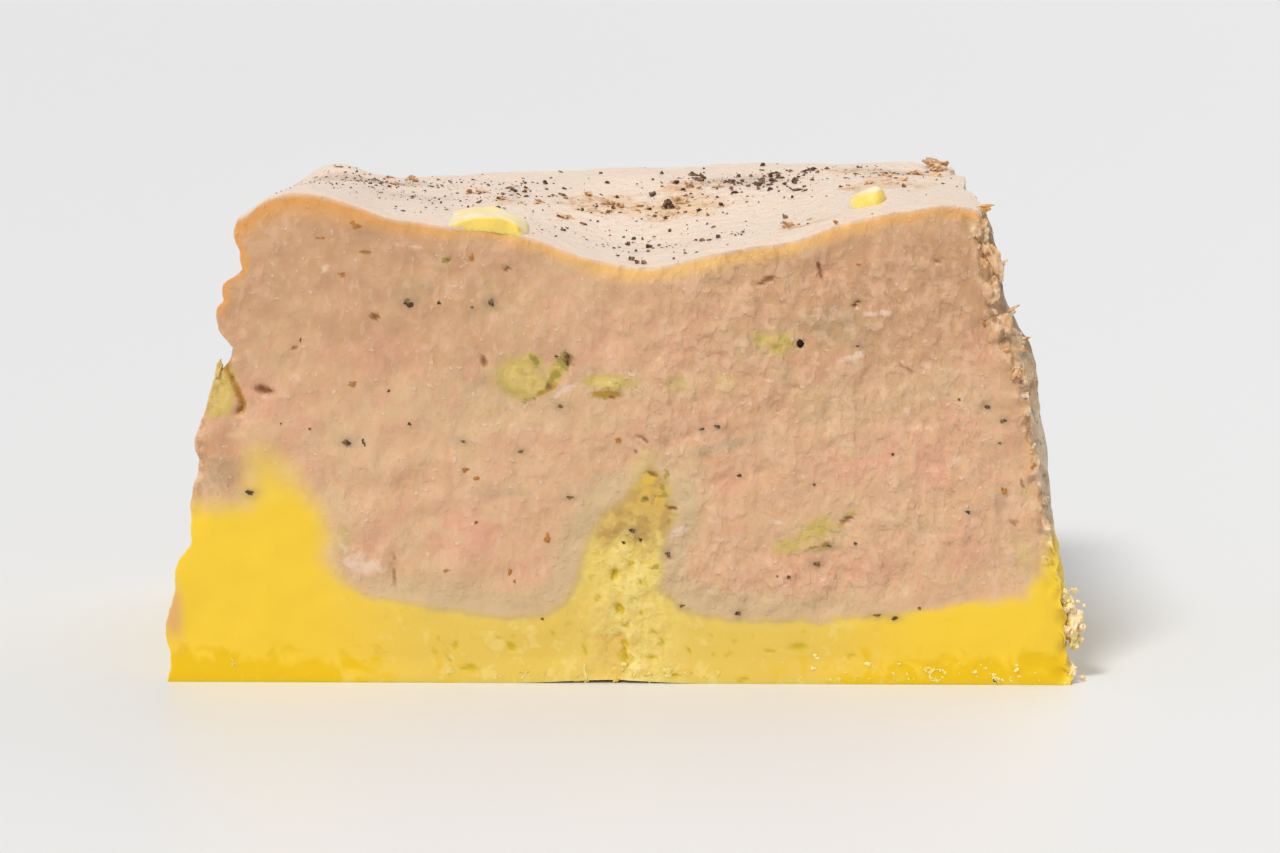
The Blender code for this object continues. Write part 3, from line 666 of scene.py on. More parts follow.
# Small hollows cut into the liver, and pits in the crumbly fat: middle (x, z), half sizes
# (x, z), tilt in degrees, depth
HOLES = [
    ((-36.4, 30.9), (1.5, 0.6), -8, 1.4), ((-25.0, 38.7), (0.6, 0.35), 5, 0.6),
    ((-33.5, 35.4), (0.25, 0.35), 0, 0.5), ((-17.7, 44.6), (0.5, 0.3), 25, 0.5),
    ((-11.4, 43.6), (0.65, 0.28), 8, 0.8), ((-5.1, 34.2), (0.4, 0.8), -8, 1.3),
    ((-7.0, 31.5), (0.35, 0.25), 30, 0.8), ((-0.8, 30.25), (1.6, 0.14), 2, 0.4),
    ((2.6, 26.0), (0.7, 0.22), -20, 0.5), ((2.0, 24.6), (0.25, 0.6), 10, 0.5),
    ((3.6, 22.3), (0.6, 0.2), -14, 0.6), ((2.9, 19.6), (0.35, 0.35), 0, 0.6),
    ((5.6, 18.7), (0.6, 0.18), -5, 0.7), ((5.4, 13.5), (0.45, 0.12), 0, 0.5),
    ((41.4, 17.3), (0.7, 0.2), 8, 0.5), ((42.0, 21.5), (0.12, 1.1), 4, 0.4),
    ((37.9, 45.3), (0.5, 0.3), 20, 0.6), ((-13.9, 34.1), (0.5, 0.65), 10, 0.6),
    ((-23.3, 12.0), (0.3, 3.2), 3, 0.35), ((-22.4, 20.2), (0.3, 2.1), -22, 0.1),
    ((-26.6, 18.6), (0.3, 2.2), 8, 0.1), ((23.9, 17.4), (1.3, 0.3), 32, 0.6),
    ((18.9, 35.9), (0.6, 0.55), 0, 0.4),
    ((12.8, 15.4), (0.5, 0.25), 0, 0.3), ((24.6, 40.2), (0.65, 0.32), 20, 1.2),
    ((20.9, 43.4), (0.3, 1.5), 6, 0.6), ((15.2, 42.4), (1.4, 0.3), 30, 0.6),
    ((33.0, 44.6), (0.9, 0.3), 40, 0.4), ((30.0, 33.3), (1.8, 0.25), -36, 0.3),
]
SEAM_PITS = [
    ((-0.3, 11.4), (0.5, 0.85), -8, 1.3), ((2.3, 10.7), (0.32, 0.34), 0, 1.0),
    ((0.3, 8.0), (0.42, 0.65), -10, 1.3), ((0.9, 6.3), (0.22, 0.36), 0, 0.9),
    ((3.9, 5.5), (0.3, 0.2), 0, 0.7), ((0.7, 3.3), (0.38, 1.3), -6, 1.5),
    ((-3.5, 3.6), (0.2, 0.6), 10, 0.6), ((3.7, 2.7), (0.55, 0.3), 15, 0.8),
    ((4.8, 4.3), (0.28, 0.2), 0, 0.7), ((9.8, 5.1), (0.22, 0.22), 0, 0.6),
    ((12.4, 4.6), (0.35, 0.2), 0, 0.6), ((6.2, 0.9), (0.55, 0.3), 0, 0.8),
    ((13.3, 0.5), (0.8, 0.3), 0, 0.8), ((7.6, 3.5), (0.28, 0.22), 0, 0.6),
    ((-17.6, 2.8), (0.2, 0.8), 12, 0.7), ((-16.9, 3.9), (0.5, 0.2), 30, 0.6),
    ((-11.1, 3.9), (0.6, 0.4), 0, 0.6), ((-12.4, 4.8), (0.25, 0.2), 0, 0.5),
    ((19.0, 3.9), (1.3, 0.5), 4, 0.4), ((-14.8, 4.9), (0.22, 0.18), 0, 0.5),
    ((16.0, 3.4), (0.6, 0.25), -10, 0.5), ((-1.9, 8.9), (0.3, 0.2), 20, 0.6),
    ((2.6, 7.4), (0.2, 0.3), 0, 0.6), ((-15.5, 1.6), (1.2, 0.3), -8, 0.5),
    ((24.5, 3.0), (0.7, 0.3), 0, 0.4), ((-6.6, 5.2), (0.25, 0.18), 0, 0.5),
    ((1.5, 12.9), (0.25, 0.3), 0, 0.6), ((-7.9, 2.6), (0.3, 0.2), 0, 0.5),
]


def patches(spots, x, z):
    """How strongly the tilted, soft-edged patches colour each point, from 0 to 1."""
    total = np.zeros(x.shape)
    for (middle_x, middle_z), (half_x, half_z), tilt, strength in spots:
        turn = math.radians(tilt)
        along = (x - middle_x) * math.cos(turn) + (z - middle_z) * math.sin(turn)
        across = (z - middle_z) * math.cos(turn) - (x - middle_x) * math.sin(turn)
        away = (along / half_x) ** 2 + (across / half_z) ** 2
        total = np.maximum(total, strength * np.exp(-away))
    return total


def fat_depth(x, z):
    """How far each point of the cut face is inside the fat, less than 0 in the liver."""
    wiggled_x = x + 0.35 * wave(x, 0.0, z, 2.3, 5.1) + 0.2 * wave(x, 0.0, z, 0.8, 2.2)
    wiggled_z = z + 0.35 * wave(x, 0.0, z, 2.1, 9.4) + 0.2 * wave(x, 0.0, z, 0.9, 6.8)
    away = distance_to(FAT_OUTLINE, wiggled_x, wiggled_z)
    return np.where(inside(FAT_OUTLINE, wiggled_x, wiggled_z), away, -away)


def border_softness(x, z):
    """How wide the change from liver to fat is: blurred at the wedge, crisp under the lobes."""
    wedge = ease((-26.0 - x) / 5.0) * ease((z - 6.0) / 6.0)
    peak = ease(1.0 - np.hypot(x + 36.0, z - 22.0) / 6.0)
    right = ease((x - 36.0) / 5.0)
    return 0.5 + 1.3 * wedge + 1.2 * peak + 0.6 * right


def masks_of(points):
    """Where each colour of the block lies, as shares from 0 to 1 at each point."""
    x, y, z = points.T
    back = np.clip(y / DEPTH + 0.5, 0.0, 1.0)
    aside, up = drift(x, y, z)
    face_x, face_z = x - aside, z - up
    swell = side_bulge(x, y, z, back)
    top = top_z(x, back) + top_waves(x, y)
    below_top = top - z
    level = HEIGHT * z / top
    from_left = x - left_x(level, back) - swell
    from_right = right_x(level, back) + swell - x
    depth = fat_depth(face_x, face_z)
    middle = np.exp(-((face_x / 27.0) ** 6))
    lobes = middle * ease((24.0 - face_z) / 3.0)
    rough = wave(x, y, z, 3.0, 14.0)
    corner = ease((-30.0 - x) / 8.0) * ease((z - 33.0) / 6.0)
    from_edge = np.minimum(below_top, 2.6 * from_left + 60.0 * (1.0 - corner))
    dip = np.exp(-(((x - 8.0) / 20.0) ** 2))
    ochre_width = 1.5 + 1.3 * ease((-18.0 - x) / 14.0) + 0.5 * dip + 0.4 * rough
    seam_line = [FAT_PEAK, *LEFT_LOBE_TOP, SEAM_TOP, *RIGHT_LOBE_TOP]
    from_seam = distance_to(seam_line, face_x, face_z + 0.5 * rough)
    front = back < MARKS_REACH
    near = shaken(x, z)
    dents, pits = (
        patches([(*spot, min(1.0, 0.4 + depth)) for *spot, depth in spots], *near)
        for spots in (HOLES, SEAM_PITS)
    )
    right_edge = ease((z - 11.0) / 4.0) * ease((x - 41.0) / 2.0)
    smudges = [(spot, (0.6 + half[0], 0.3 + half[1]), 0, 0.6) for spot, half in SPECKS
               if half[0] > 0.22]
    at_end = np.minimum(back, 1.0 - back) < CREVICE_REACH
    end_x, end_z = x[at_end], z[at_end]
    end_y = np.where(back < 0.5, FRONT, -FRONT)[at_end]
    liver_pits = flaky(end_x, end_z) * ledges(end_x, end_y, end_z, *LIVER_LEDGES)
    seam_pits = crumbly(end_x, end_z) * ledges(end_x, end_y, end_z, *SEAM_LEDGES)
    crevices = np.zeros(x.shape)
    crevices[at_end] = np.maximum(liver_pits, 0.5 * seam_pits)
    return {
        "fatness": ease(0.5 + depth / (2.0 * border_softness(face_x, face_z))),
        "rim": np.exp(-(((depth + 1.6) / 1.5) ** 2)) * lobes,
        "verge": np.exp(-((depth / 0.4) ** 2)) * lobes,
        "seam_top": ease((face_z - 13.0) / 4.0) * np.exp(-(((face_x - 2.0) / 7.0) ** 4)),
        "border": np.exp(-((distance_to(FAT_BORDER, face_x, face_z) / 1.0) ** 2)),
        "dull": np.maximum.reduce([
            middle * ease((21.0 - face_z) / 3.0),
            ease(1.0 - np.hypot(x + 37.0, z - 25.0) / 8.0),
            0.9 * right_edge,
        ]),
        "deep": ease((4.6 - z) / 3.6) * (1.0 - middle),
        "crumbly": crumbly(face_x, face_z),
        "rosy": patches(ROSY_PATCHES, face_x, face_z),
        "sandy": patches(SAND_PATCHES, face_x, face_z),
        "brown": patches(BROWN_PATCHES, face_x, face_z),
        "grey": np.maximum(
            patches(GREY_PATCHES, face_x, face_z), 0.25 * np.exp(-((from_seam / 0.8) ** 2))
        ),
        "yellow": patches(YELLOW_PATCHES, face_x, face_z),
        "tan": patches(TAN_PATCHES, x, z),
        "hollow": ease(2.2 * dents - 0.8) * front,
        "crease": in_crease(x, z, 0.2) * front,
        "golden": ease(1.7 * pits - 0.3) * front,
        "boxy": ease(2.5 * boxy_pit(x, z)) * front,
        "flaky": flaky(x, z) * (1.0 - ease(0.75 + 0.3 * depth)),
        "ragged": rim_break(x, z),
        "pale": patches(PALE_PATCHES, x, z) * front,
        "pocket": patches(POCKET_PATCHES, x, z) * front,
        "olive": patches(OLIVE_PATCHES, x, z) * front,
        "amber": patches(AMBER_PATCHES, x, z) * front,
        "crevice": crevices,
        "ochre": ease(1.25 - from_edge / ochre_width),
        "dip": dip,
        "warm": ease(1.4 - below_top / 18.0) * (1.0 - 0.85 * np.exp(-(((x - 1.0) / 14.0) ** 2))),
        "smudge": patches(smudges, *near) * front,
        # painted shade, growing towards the top of the moulded sides
        "high_shade": ease((z - 30.0) / 7.0),
        "cream": ease(1.3 - below_top / 0.35),
        "skin": np.maximum(
            ease(1.5 - from_right / 0.3), ease(1.5 - from_left / 0.3) * ease(12.0 * back - 0.4)
        ),
        "torn": patches(TORN_PATCHES, x, y),
        "stain": patches(STAIN_PATCHES, x, y),
    }


# How far red, green and blue light scatter under the surface, next to one another
SCATTER_COLOURS = (1.0, 0.55, 0.25)
# A Mix node's sockets for the share, the two colours and the result
MIX_SHARE, MIX_UNDER, MIX_OVER, MIX_RESULT = 0, 6, 7, 2


class Finish:
    """One material, built up as a stack of colours on the shader."""

    def __init__(self, name, roughness=0.45, scatter=0.0, scatter_mm=1.0, shine=0.5):
        self.made = bpy.data.materials.new(name)
        self.made.use_nodes = True
        self.nodes = self.made.node_tree.nodes
        self.links = self.made.node_tree.links
        self.shader = self.nodes["Principled BSDF"]
        self.shader.inputs["Roughness"].default_value = roughness
        self.shader.inputs["Specular IOR Level"].default_value = shine
        self.shader.inputs["Subsurface Weight"].default_value = scatter
        self.shader.inputs["Subsurface Radius"].default_value = SCATTER_COLOURS
        self.shader.inputs["Subsurface Scale"].default_value = scatter_mm * MM
        self.place = self.nodes.new("ShaderNodeTexCoord").outputs["Object"]

    def mask(self, name):
        """Reads one of the mesh's own masks."""
        node = self.nodes.new("ShaderNodeAttribute")
        node.attribute_name = name
        return node.outputs["Fac"]

    def noise(self, size, detail=3.0, stretch=(1.0, 1.0, 1.0), shift=0.0, warp=0.0):
        """Cloudy noise from 0 to 1, in lumps about size millimetres across."""
        mapping = self.nodes.new("ShaderNodeMapping")
        mapping.inputs["Scale"].default_value = stretch
        mapping.inputs["Location"].default_value = (shift, shift, shift)
        self.links.new(self.place, mapping.inputs["Vector"])
        node = self.nodes.new("ShaderNodeTexNoise")
        node.inputs["Scale"].default_value = 1.0 / (size * MM)
        node.inputs["Detail"].default_value = detail
        node.inputs["Distortion"].default_value = warp
        self.links.new(mapping.outputs["Vector"], node.inputs["Vector"])
        return node.outputs["Fac"]

    def step(self, value, low, high, least=0.0, most=1.0):
        """Eases a value from least at low to most at high."""
        node = self.nodes.new("ShaderNodeMapRange")
        node.interpolation_type = "SMOOTHSTEP"
        node.inputs["From Min"].default_value = low
        node.inputs["From Max"].default_value = high
        node.inputs["To Min"].default_value = least
        node.inputs["To Max"].default_value = most
        self.links.new(value, node.inputs["Value"])
        return node.outputs["Result"]

    def sum(self, operation, first, second):
        """Works out a sum of two values, each a socket or a number."""
        node = self.nodes.new("ShaderNodeMath")
        node.operation = operation
        for socket, value in zip(node.inputs, (first, second)):
            if isinstance(value, (int, float)):
                socket.default_value = value
            else:
                self.links.new(value, socket)
        return node.outputs["Value"]

    def mix(self, under, over, share):
        """Lays one colour over another by a share from 0 to 1."""
        node = self.nodes.new("ShaderNodeMix")
        node.data_type = "RGBA"
        for i, value in ((MIX_UNDER, under), (MIX_OVER, over)):
            if isinstance(value, tuple):
                node.inputs[i].default_value = (*value, 1.0)
            else:
                self.links.new(value, node.inputs[i])
        self.links.new(share, node.inputs[MIX_SHARE])
        return node.outputs[MIX_RESULT]

    def layered(self, under, *layers):
        """Lays (colour, share) layers over a colour, one on another."""
        for over, share in layers:
            under = self.mix(under, over, share)
        return under

    def bump(self, *layers):
        """Raises the surface by (height from 0 to 1, millimetres) layers, laid one on another."""
        normal = None
        for height, rise in layers:
            node = self.nodes.new("ShaderNodeBump")
            node.inputs["Strength"].default_value = 1.0
            node.inputs["Distance"].default_value = rise * MM
            self.links.new(height, node.inputs["Height"])
            if normal:
                self.links.new(normal, node.inputs["Normal"])
            normal = node.outputs["Normal"]
        self.links.new(normal, self.shader.inputs["Normal"])

    def done(self, colour, roughness=None):
        """Hands the colour, and a roughness that varies, to the shader."""
        self.links.new(colour, self.shader.inputs["Base Color"])
        if roughness:
            self.links.new(roughness, self.shader.inputs["Roughness"])
        return self.made


# Colours, as light that the surface gives back
BEIGE = (0.72, 0.43, 0.245)
SAND = (0.71, 0.48, 0.27)
ROSE = (0.75, 0.39, 0.25)
# Pale smears of the liver, and painted glints: small pale dots standing in for highlights
PALE_AND_GLINT = (0.84, 0.63, 0.48)
# Painted highlight: a paler peach laid on the raised chips and high smears of the liver
PEACH_HIGHLIGHT = (0.82, 0.56, 0.38)
WARM = (0.56, 0.315, 0.16)
BROWN = (0.58, 0.30, 0.155)
GREY = (0.48, 0.36, 0.215)
RIM_GREY = (0.65, 0.48, 0.265)
GREEN_YELLOW = (0.68, 0.49, 0.19)
OCHRE = (0.75, 0.37, 0.11)
OCHRE_PALE = (0.89, 0.55, 0.19)
CREAM = (0.81, 0.645, 0.51)
CREAM_PINK = (0.77, 0.555, 0.42)
TORN = (0.78, 0.54, 0.34)
TORN_BROWN = (0.56, 0.33, 0.17)
STAIN = (0.55, 0.39, 0.29)
PEPPER_DUST = (0.26, 0.165, 0.11)
SMUDGE = (0.26, 0.18, 0.11)
# Painted shade over the brown crust, high up on the moulded sides
SKIN_BROWN_SHADE = (0.26, 0.15, 0.08)
SKIN = (0.78, 0.60, 0.40)
SKIN_GREY = (0.56, 0.42, 0.27)
SKIN_DARK = (0.13, 0.085, 0.05)
BRIGHT_FAT = (0.93, 0.62, 0.035)
DULL_FAT = (0.80, 0.56, 0.10)
DEEP_FAT = (0.83, 0.53, 0.0)
TAN_SKIN = (0.74, 0.42, 0.19)
CRUMBLY_FAT = (0.88, 0.70, 0.235)
SEAM_TAN = (0.57, 0.35, 0.10)
VERGE_OLIVE = (0.56, 0.42, 0.14)
CRUMBLY_DULL = (0.84, 0.62, 0.17)
GOLDEN_PIT = (0.66, 0.46, 0.01)
BOXY_AMBER = (0.79, 0.53, 0.11)
# Painted shade in the small hollows, over their own red-brown
HOLLOW_BROWN_SHADE = (0.28, 0.10, 0.03)
# Amber of the torn crease, deepened by painted shade
CREASE_AMBER_SHADE = (0.50, 0.25, 0.05)
# Painted shade: a darker brown laid in the low smears and the torn crevices of the liver
CREVICE_SHADE = (0.56, 0.31, 0.15)
FLAKE = (0.87, 0.62, 0.40)
RAGGED_OCHRE = (0.76, 0.45, 0.22)
# Painted shade, over a brown, in the gaps between the rim's flakes
RAGGED_SHADE = (0.32, 0.18, 0.08)
POCKET_YELLOW = (0.72, 0.52, 0.165)
POCKET_GREEN = (0.60, 0.445, 0.10)
OLIVE = (0.36, 0.27, 0.04)
AMBER = (0.50, 0.28, 0.04)
CHIP_CREAM = (0.87, 0.74, 0.50)
CHIP_PALE = (0.90, 0.70, 0.30)
CHIP_CUT = (0.94, 0.68, 0.14)
# The two mingled colours of the small bits, the size in which they mingle, and their roughness
BITS_LOOKS = {
    "pepper": ((0.10, 0.06, 0.04), (0.30, 0.18, 0.11), 0.5, 0.8),
    "speck": ((0.09, 0.055, 0.03), (0.24, 0.15, 0.06), 0.6, 0.6),
    # painted shade: the black inside of the round hole
    "round_hole_shade": ((0.02, 0.01, 0.008), (0.03, 0.015, 0.01), 1.2, 0.6),
    "vein": ((0.52, 0.20, 0.045), (0.42, 0.20, 0.06), 0.4, 0.4),
    # painted light: the crumbs low on the right side are paler than their own colour, where they
    # stand in shade
    "side_crumbs": ((0.96, 0.75, 0.48), (0.97, 0.82, 0.36), 1.6, 0.4),
    "fat_crumbs": ((0.86, 0.69, 0.22), (0.84, 0.60, 0.12), 1.5, 0.45),
    "pale_bubbles": ((0.92, 0.74, 0.20), (0.93, 0.78, 0.34), 0.8, 0.3),
    "torn_scraps": ((0.80, 0.56, 0.35), (0.58, 0.35, 0.18), 1.2, 0.5),
}
# How far light scatters in each piece of the block, in millimetres
LIVER_SCATTER, FAT_SCATTER, POCKET_SCATTER = 0.6, 1.2, 0.8


def block_finish(name, scatter_mm):
    """The colours of the whole block: liver and fat, cut face, top and moulded sides."""
    finish = Finish(name, scatter_mm=scatter_mm, shine=0.35)
    mix, layered, step = finish.mix, finish.layered, finish.step
    mask, total = finish.mask, finish.sum
    cloud = finish.noise(7.0, 4.0, warp=0.5)
    mottle = finish.noise(3.4, 5.0, shift=0.93, warp=0.9)
    curd = finish.noise(1.5, 4.0, shift=0.31, warp=0.4)
    smear = finish.noise(1.4, 4.0, stretch=(1.4, 1.0, 0.75), shift=0.13, warp=0.3)
    fine = finish.noise(0.6, 3.0, shift=0.57)

    def times(first, second):
        """Two values multiplied."""
        return total("MULTIPLY", first, second)

    def part(name, share):
        """A share of a mask."""
        return times(mask(name), share)

    def spread(name, low, high, by=0.6, waves=mottle):
        """A mask with its edge broken up by noise, and nothing where there is no mask."""
        broken = total("ADD", mask(name), times(total("SUBTRACT", waves, 0.5), by))
        return total("MINIMUM", step(broken, low, high), step(mask(name), 0.0, 0.15))

    # The broken rim: ochre with pale flakes, and painted shade over brown in the gaps between them
    flakes = layered(
        RAGGED_OCHRE,
        (FLAKE, step(curd, 0.44, 0.60)),
        (RAGGED_SHADE, step(smear, 0.49, 0.38, 0.0, 0.85)),
    )
    green = total("MAXIMUM", step(mask("pocket"), 0.9, 0.5), step(curd, 0.48, 0.60))
    pocket = mix(POCKET_YELLOW, POCKET_GREEN, green)
    liver = layered(
        BEIGE,
        (SAND, step(cloud, 0.42, 0.66, 0.0, 0.7)),
        (SAND, spread("sandy", 0.2, 0.9)),
        (BROWN, times(spread("brown", 0.2, 0.9), 0.8)),
        (ROSE, spread("rosy", 0.15, 0.9)),
        (ROSE, step(mottle, 0.54, 0.68, 0.0, 0.6)),
        (SAND, step(mottle, 0.46, 0.34, 0.0, 0.6)),
        (GREEN_YELLOW, times(spread("yellow", 0.3, 0.9), 0.8)),
        (GREY, times(spread("grey", 0.25, 0.95), 0.8)),
        (WARM, part("warm", step(curd, 0.3, 0.7, 0.8, 0.45))),
        # painted shade in the low smears, and below in the torn crevices
        (CREVICE_SHADE, step(smear, 0.44, 0.30, 0.0, 0.25)),
        # painted highlight on the high smears and raised chips of the liver
        (PEACH_HIGHLIGHT, step(smear, 0.56, 0.70, 0.0, 0.3)),
        (PEACH_HIGHLIGHT, part("flaky", step(curd, 0.50, 0.62, 0.0, 0.3))),
        (CREVICE_SHADE, part("crevice", part("flaky", 0.25))),
        # painted glints: small pale dots over the liver
        (PALE_AND_GLINT, step(fine, 0.64, 0.72, 0.0, 0.6)),
        (RIM_GREY, part("rim", 0.85)),
        (PALE_AND_GLINT, times(spread("pale", 0.35, 0.9, 2.0, curd), 0.75)),
        (flakes, part("ragged", 0.85)),
        (pocket, times(spread("pocket", 0.2, 0.7, 0.9, curd), 0.9)),
        (mix(OCHRE, OCHRE_PALE, mask("dip")), mask("ochre")),
    )
    crumb = layered(
        CRUMBLY_FAT,
        (CRUMBLY_DULL, step(curd, 0.42, 0.60)),
        (PALE_AND_GLINT, step(fine, 0.60, 0.70, 0.0, 0.4)),
        (GOLDEN_PIT, step(fine, 0.40, 0.30, 0.0, 0.35)),
    )
    broken_tan = step(curd, 0.42, 0.58, 0.55, 1.0)
    fat = layered(
        BRIGHT_FAT,
        (DULL_FAT, mask("dull")),
        (DEEP_FAT, spread("deep", 0.1, 0.9, 3.5)),
        (TAN_SKIN, times(spread("tan", 0.1, 0.9), 0.8)),
        (crumb, mask("crumbly")),
        (CRUMBLY_FAT, part("dull", step(curd, 0.56, 0.68, 0.0, 0.5))),
        (GOLDEN_PIT, part("crevice", part("crumbly", 0.4))),
        (GOLDEN_PIT, part("dull", step(curd, 0.36, 0.30, 0.0, 0.5))),
        (BOXY_AMBER, part("boxy", 0.8)),
        (SEAM_TAN, times(spread("seam_top", 0.2, 0.8, 2.2), broken_tan)),
    )
    # Higher up, the moulded sides take painted shade over their brown crust, and less of the pale
    # pink
    pink_share = step(mask("high_shade"), 0.0, 1.0, 1.0, 0.35)
    skin = layered(
        SKIN,
        (SKIN_GREY, step(mottle, 0.42, 0.60)),
        (GREEN_YELLOW, step(cloud, 0.54, 0.66, 0.0, 0.7)),
        (SKIN_BROWN_SHADE, part("high_shade", step(curd, 0.40, 0.60, 0.9, 0.5))),
        (SKIN_DARK, step(fine, 0.60, 0.68, 0.0, 0.8)),
        (CREAM_PINK, times(step(curd, 0.56, 0.66, 0.0, 0.8), pink_share)),
        (BRIGHT_FAT, part("fatness", 0.9)),
    )
    torn = layered(
        TORN,
        (TORN_BROWN, step(smear, 0.50, 0.60)),
        (CREAM, step(fine, 0.56, 0.66)),
    )
    dust = step(fine, 0.58, 0.68, 0.0, 0.7)
    top = layered(
        CREAM,
        (CREAM_PINK, step(curd, 0.48, 0.7, 0.0, 0.6)),
        (torn, spread("torn", 0.35, 0.7, 1.2)),
        (STAIN, times(spread("stain", 0.2, 0.9, 1.0), 0.65)),
        (PEPPER_DUST, times(spread("stain", 0.4, 1.0), dust)),
    )
    colour = layered(
        liver,
        (fat, mask("fatness")),
        (VERGE_OLIVE, part("verge", 0.5)),
        (AMBER, spread("amber", 0.3, 0.8, 0.8, fine)),
        (OLIVE, times(spread("olive", 0.3, 0.7, 1.4, fine), 0.85)),
        (SMUDGE, part("smudge", 0.7)),
        # painted shade in the small hollows, over their own red-brown
        (HOLLOW_BROWN_SHADE, part("hollow", 0.95)),
        # the torn crease: amber, deepened by painted shade
        (CREASE_AMBER_SHADE, part("crease", 0.9)),
        (GOLDEN_PIT, mask("golden")),
        (skin, mask("skin")),
        (top, mask("cream")),
    )

    ledge = step(smear, 0.40, 0.60)
    chips = step(curd, 0.42, 0.60)
    liver_share = step(mask("fatness"), 0.0, 1.0, 1.0, 0.2)
    finish.bump(
        (part("flaky", ledge), 0.08),
        (part("flaky", chips), 0.06),
        (times(fine, liver_share), 0.06),
        (times(step(fine, 0.60, 0.72), liver_share), 0.04),
        (part("crumbly", step(fine, 0.40, 0.60)), 0.05),
        (times(curd, total("ADD", part("skin", 0.5), part("torn", 0.3))), 0.9),
    )
    scatter = step(mask("border"), 0.0, 1.0, 0.4, 0.0)
    finish.links.new(scatter, finish.shader.inputs["Subsurface Weight"])
    return finish.done(colour, step(curd, 0.3, 0.7, 0.30, 0.48))


def chip_finish():
    """A chip of fat: pale and creamy on top, bright yellow where it was cut."""
    finish = Finish("chip_fat", scatter=0.5)
    top = finish.mix(CHIP_CREAM, CHIP_PALE, finish.step(finish.noise(3.0), 0.4, 0.65))
    finish.bump((finish.noise(1.2), 0.15))
    return finish.done(finish.mix(top, CHIP_CUT, finish.mask("cut")))


def bits_finish(name):
    """Small bits in two mingled colours."""
    one, other, size, roughness = BITS_LOOKS[name]
    finish = Finish(name, roughness=roughness, shine=0.1)
    finish.bump((finish.noise(0.4, 2.0), 0.15))
    return finish.done(finish.mix(one, other, finish.step(finish.noise(size, 2.0), 0.45, 0.58)))


def settle(piece, slot, *nodes):
    """Puts a finished piece in the frame, in place of the plain solids it stands for."""
    piece.data.transform(Matrix.Translation(SHIFT * MM))
    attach(piece, "root")
    if nodes:
        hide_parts(*nodes)


def paint(mesh, masks):
    """Writes masks on a mesh, for its material to read."""
    for name, values in masks.items():
        layer = mesh.attributes.new(name, "FLOAT", "POINT")
        layer.data.foreach_set("value", values)


def dress(mesh, material):
    """Gives a mesh its one material."""
    mesh.materials.clear()
    mesh.materials.append(material)


# Pieces


def add_liver_and_fat():
    """The liver, with its three lobes in one piece, and the fat under it."""
    block = block_mesh()
    lobes = ["liver_lobe_top", "liver_lobe_left", "liver_lobe_right"]
    parts = [
        ("liver", LIVER_OUTLINE, "liver", LIVER_SCATTER, lobes),
        ("fat_base", FAT_OUTLINE, "yellow_fat", FAT_SCATTER, ["fat_layer"]),
    ]
    for name, outline, slot, scatter_mm, nodes in parts:
        piece = add_object(name, block.copy())
        keep_inside(piece, zone(outline))
        shade_smooth(piece.data)
        paint(piece.data, masks_of(read_points(piece.data) / MM))
        dress(piece.data, block_finish(slot, scatter_mm))
        settle(piece, slot, *nodes)


def ball(detail):
    """A round starting shape, and the way that each of its points looks."""
    bm = bmesh.new()
    bmesh.ops.create_icosphere(bm, subdivisions=detail, radius=1.0)
    mesh = finish_mesh(bm, "ball")
    return mesh, read_points(mesh)


def add_pockets():
    """Pockets of fat that show in the cut face, whose rims melt into it."""
    material = block_finish("pocket_fat", POCKET_SCATTER)
    for name, (middle_x, middle_z), (half_x, half_z) in POCKETS:
        mesh, way = ball(5)
        x = middle_x + POCKET_SKIRT * half_x * way[:, 0]
        z = middle_z + POCKET_SKIRT * half_z * way[:, 2]
        rim = np.hypot(way[:, 0], way[:, 2])
        face = front_y(x, z) + POCKET_SUNK * rim**2 - POCKET_PROUD
        y = face + POCKET_DEPTH * np.maximum(way[:, 1], 0.0)
        points = np.stack([x, y, z], -1)
        write_points(mesh, points * MM)
        shade_smooth(mesh)
        paint(mesh, masks_of(points))
        dress(mesh, material)
        settle(add_object(name + "_fat", mesh), "pocket_fat", name)


def squared(way, power):
    """Pushes the ways that a ball's points look towards a box's corners, if power is under 1."""
    return np.sign(way) * np.abs(way) ** power


def add_chips():
    """Flat chips of fat that lie on the top, one cut off flush with the face."""
    material = chip_finish()
    for name, (middle_x, middle_y), (half_x, half_y), thickness in CHIPS:
        mesh, way = ball(5)
        swell = 1.0 + 0.16 * wave(*(way * 2.0).T, 1.3, half_x)
        flush = middle_y - half_y < FRONT + 1.0
        reach, box, flat = (CHIP_OVERRUN, 0.85, 0.7) if flush else (1.0, 0.95, 0.85)
        behind = squared(way[:, 1], box) * half_y * swell * np.where(way[:, 1] < 0.0, reach, 1.0)
        x = middle_x + squared(way[:, 0], box) * half_x * swell - CHIP_SHEAR * behind
        y = np.maximum(middle_y + behind, front_y(x, top_z(x, 0.0 * x)) - 0.05)
        under = top_surface(x, y)
        rise = 0.4 * (x - middle_x) / half_x + 0.35 * wave(x, y, 0.0 * x, 2.6, 2.0)
        sunk = 0.3 + 0.2 * ease((y - FRONT) / 2.0)
        z = under - sunk + (0.8 * thickness + sunk + rise) * np.maximum(way[:, 2], 0.0) ** flat
        z -= sunk * np.maximum(-way[:, 2], 0.0)
        write_points(mesh, np.stack([x, y, z], -1) * MM)
        shade_smooth(mesh, 60.0)
        low = ease((under + 0.75 * thickness - z) / 0.5) * ease(0.8 - way[:, 1])
        yellow = ease((FRONT + 1.2 - y) / 0.7) if flush else low
        paint(mesh, {"cut": yellow * ease((x - middle_x + 0.95 * half_x) / (0.4 * half_x))})
        dress(mesh, material)
        settle(add_object(name + "_fat", mesh), "chip_fat", name)


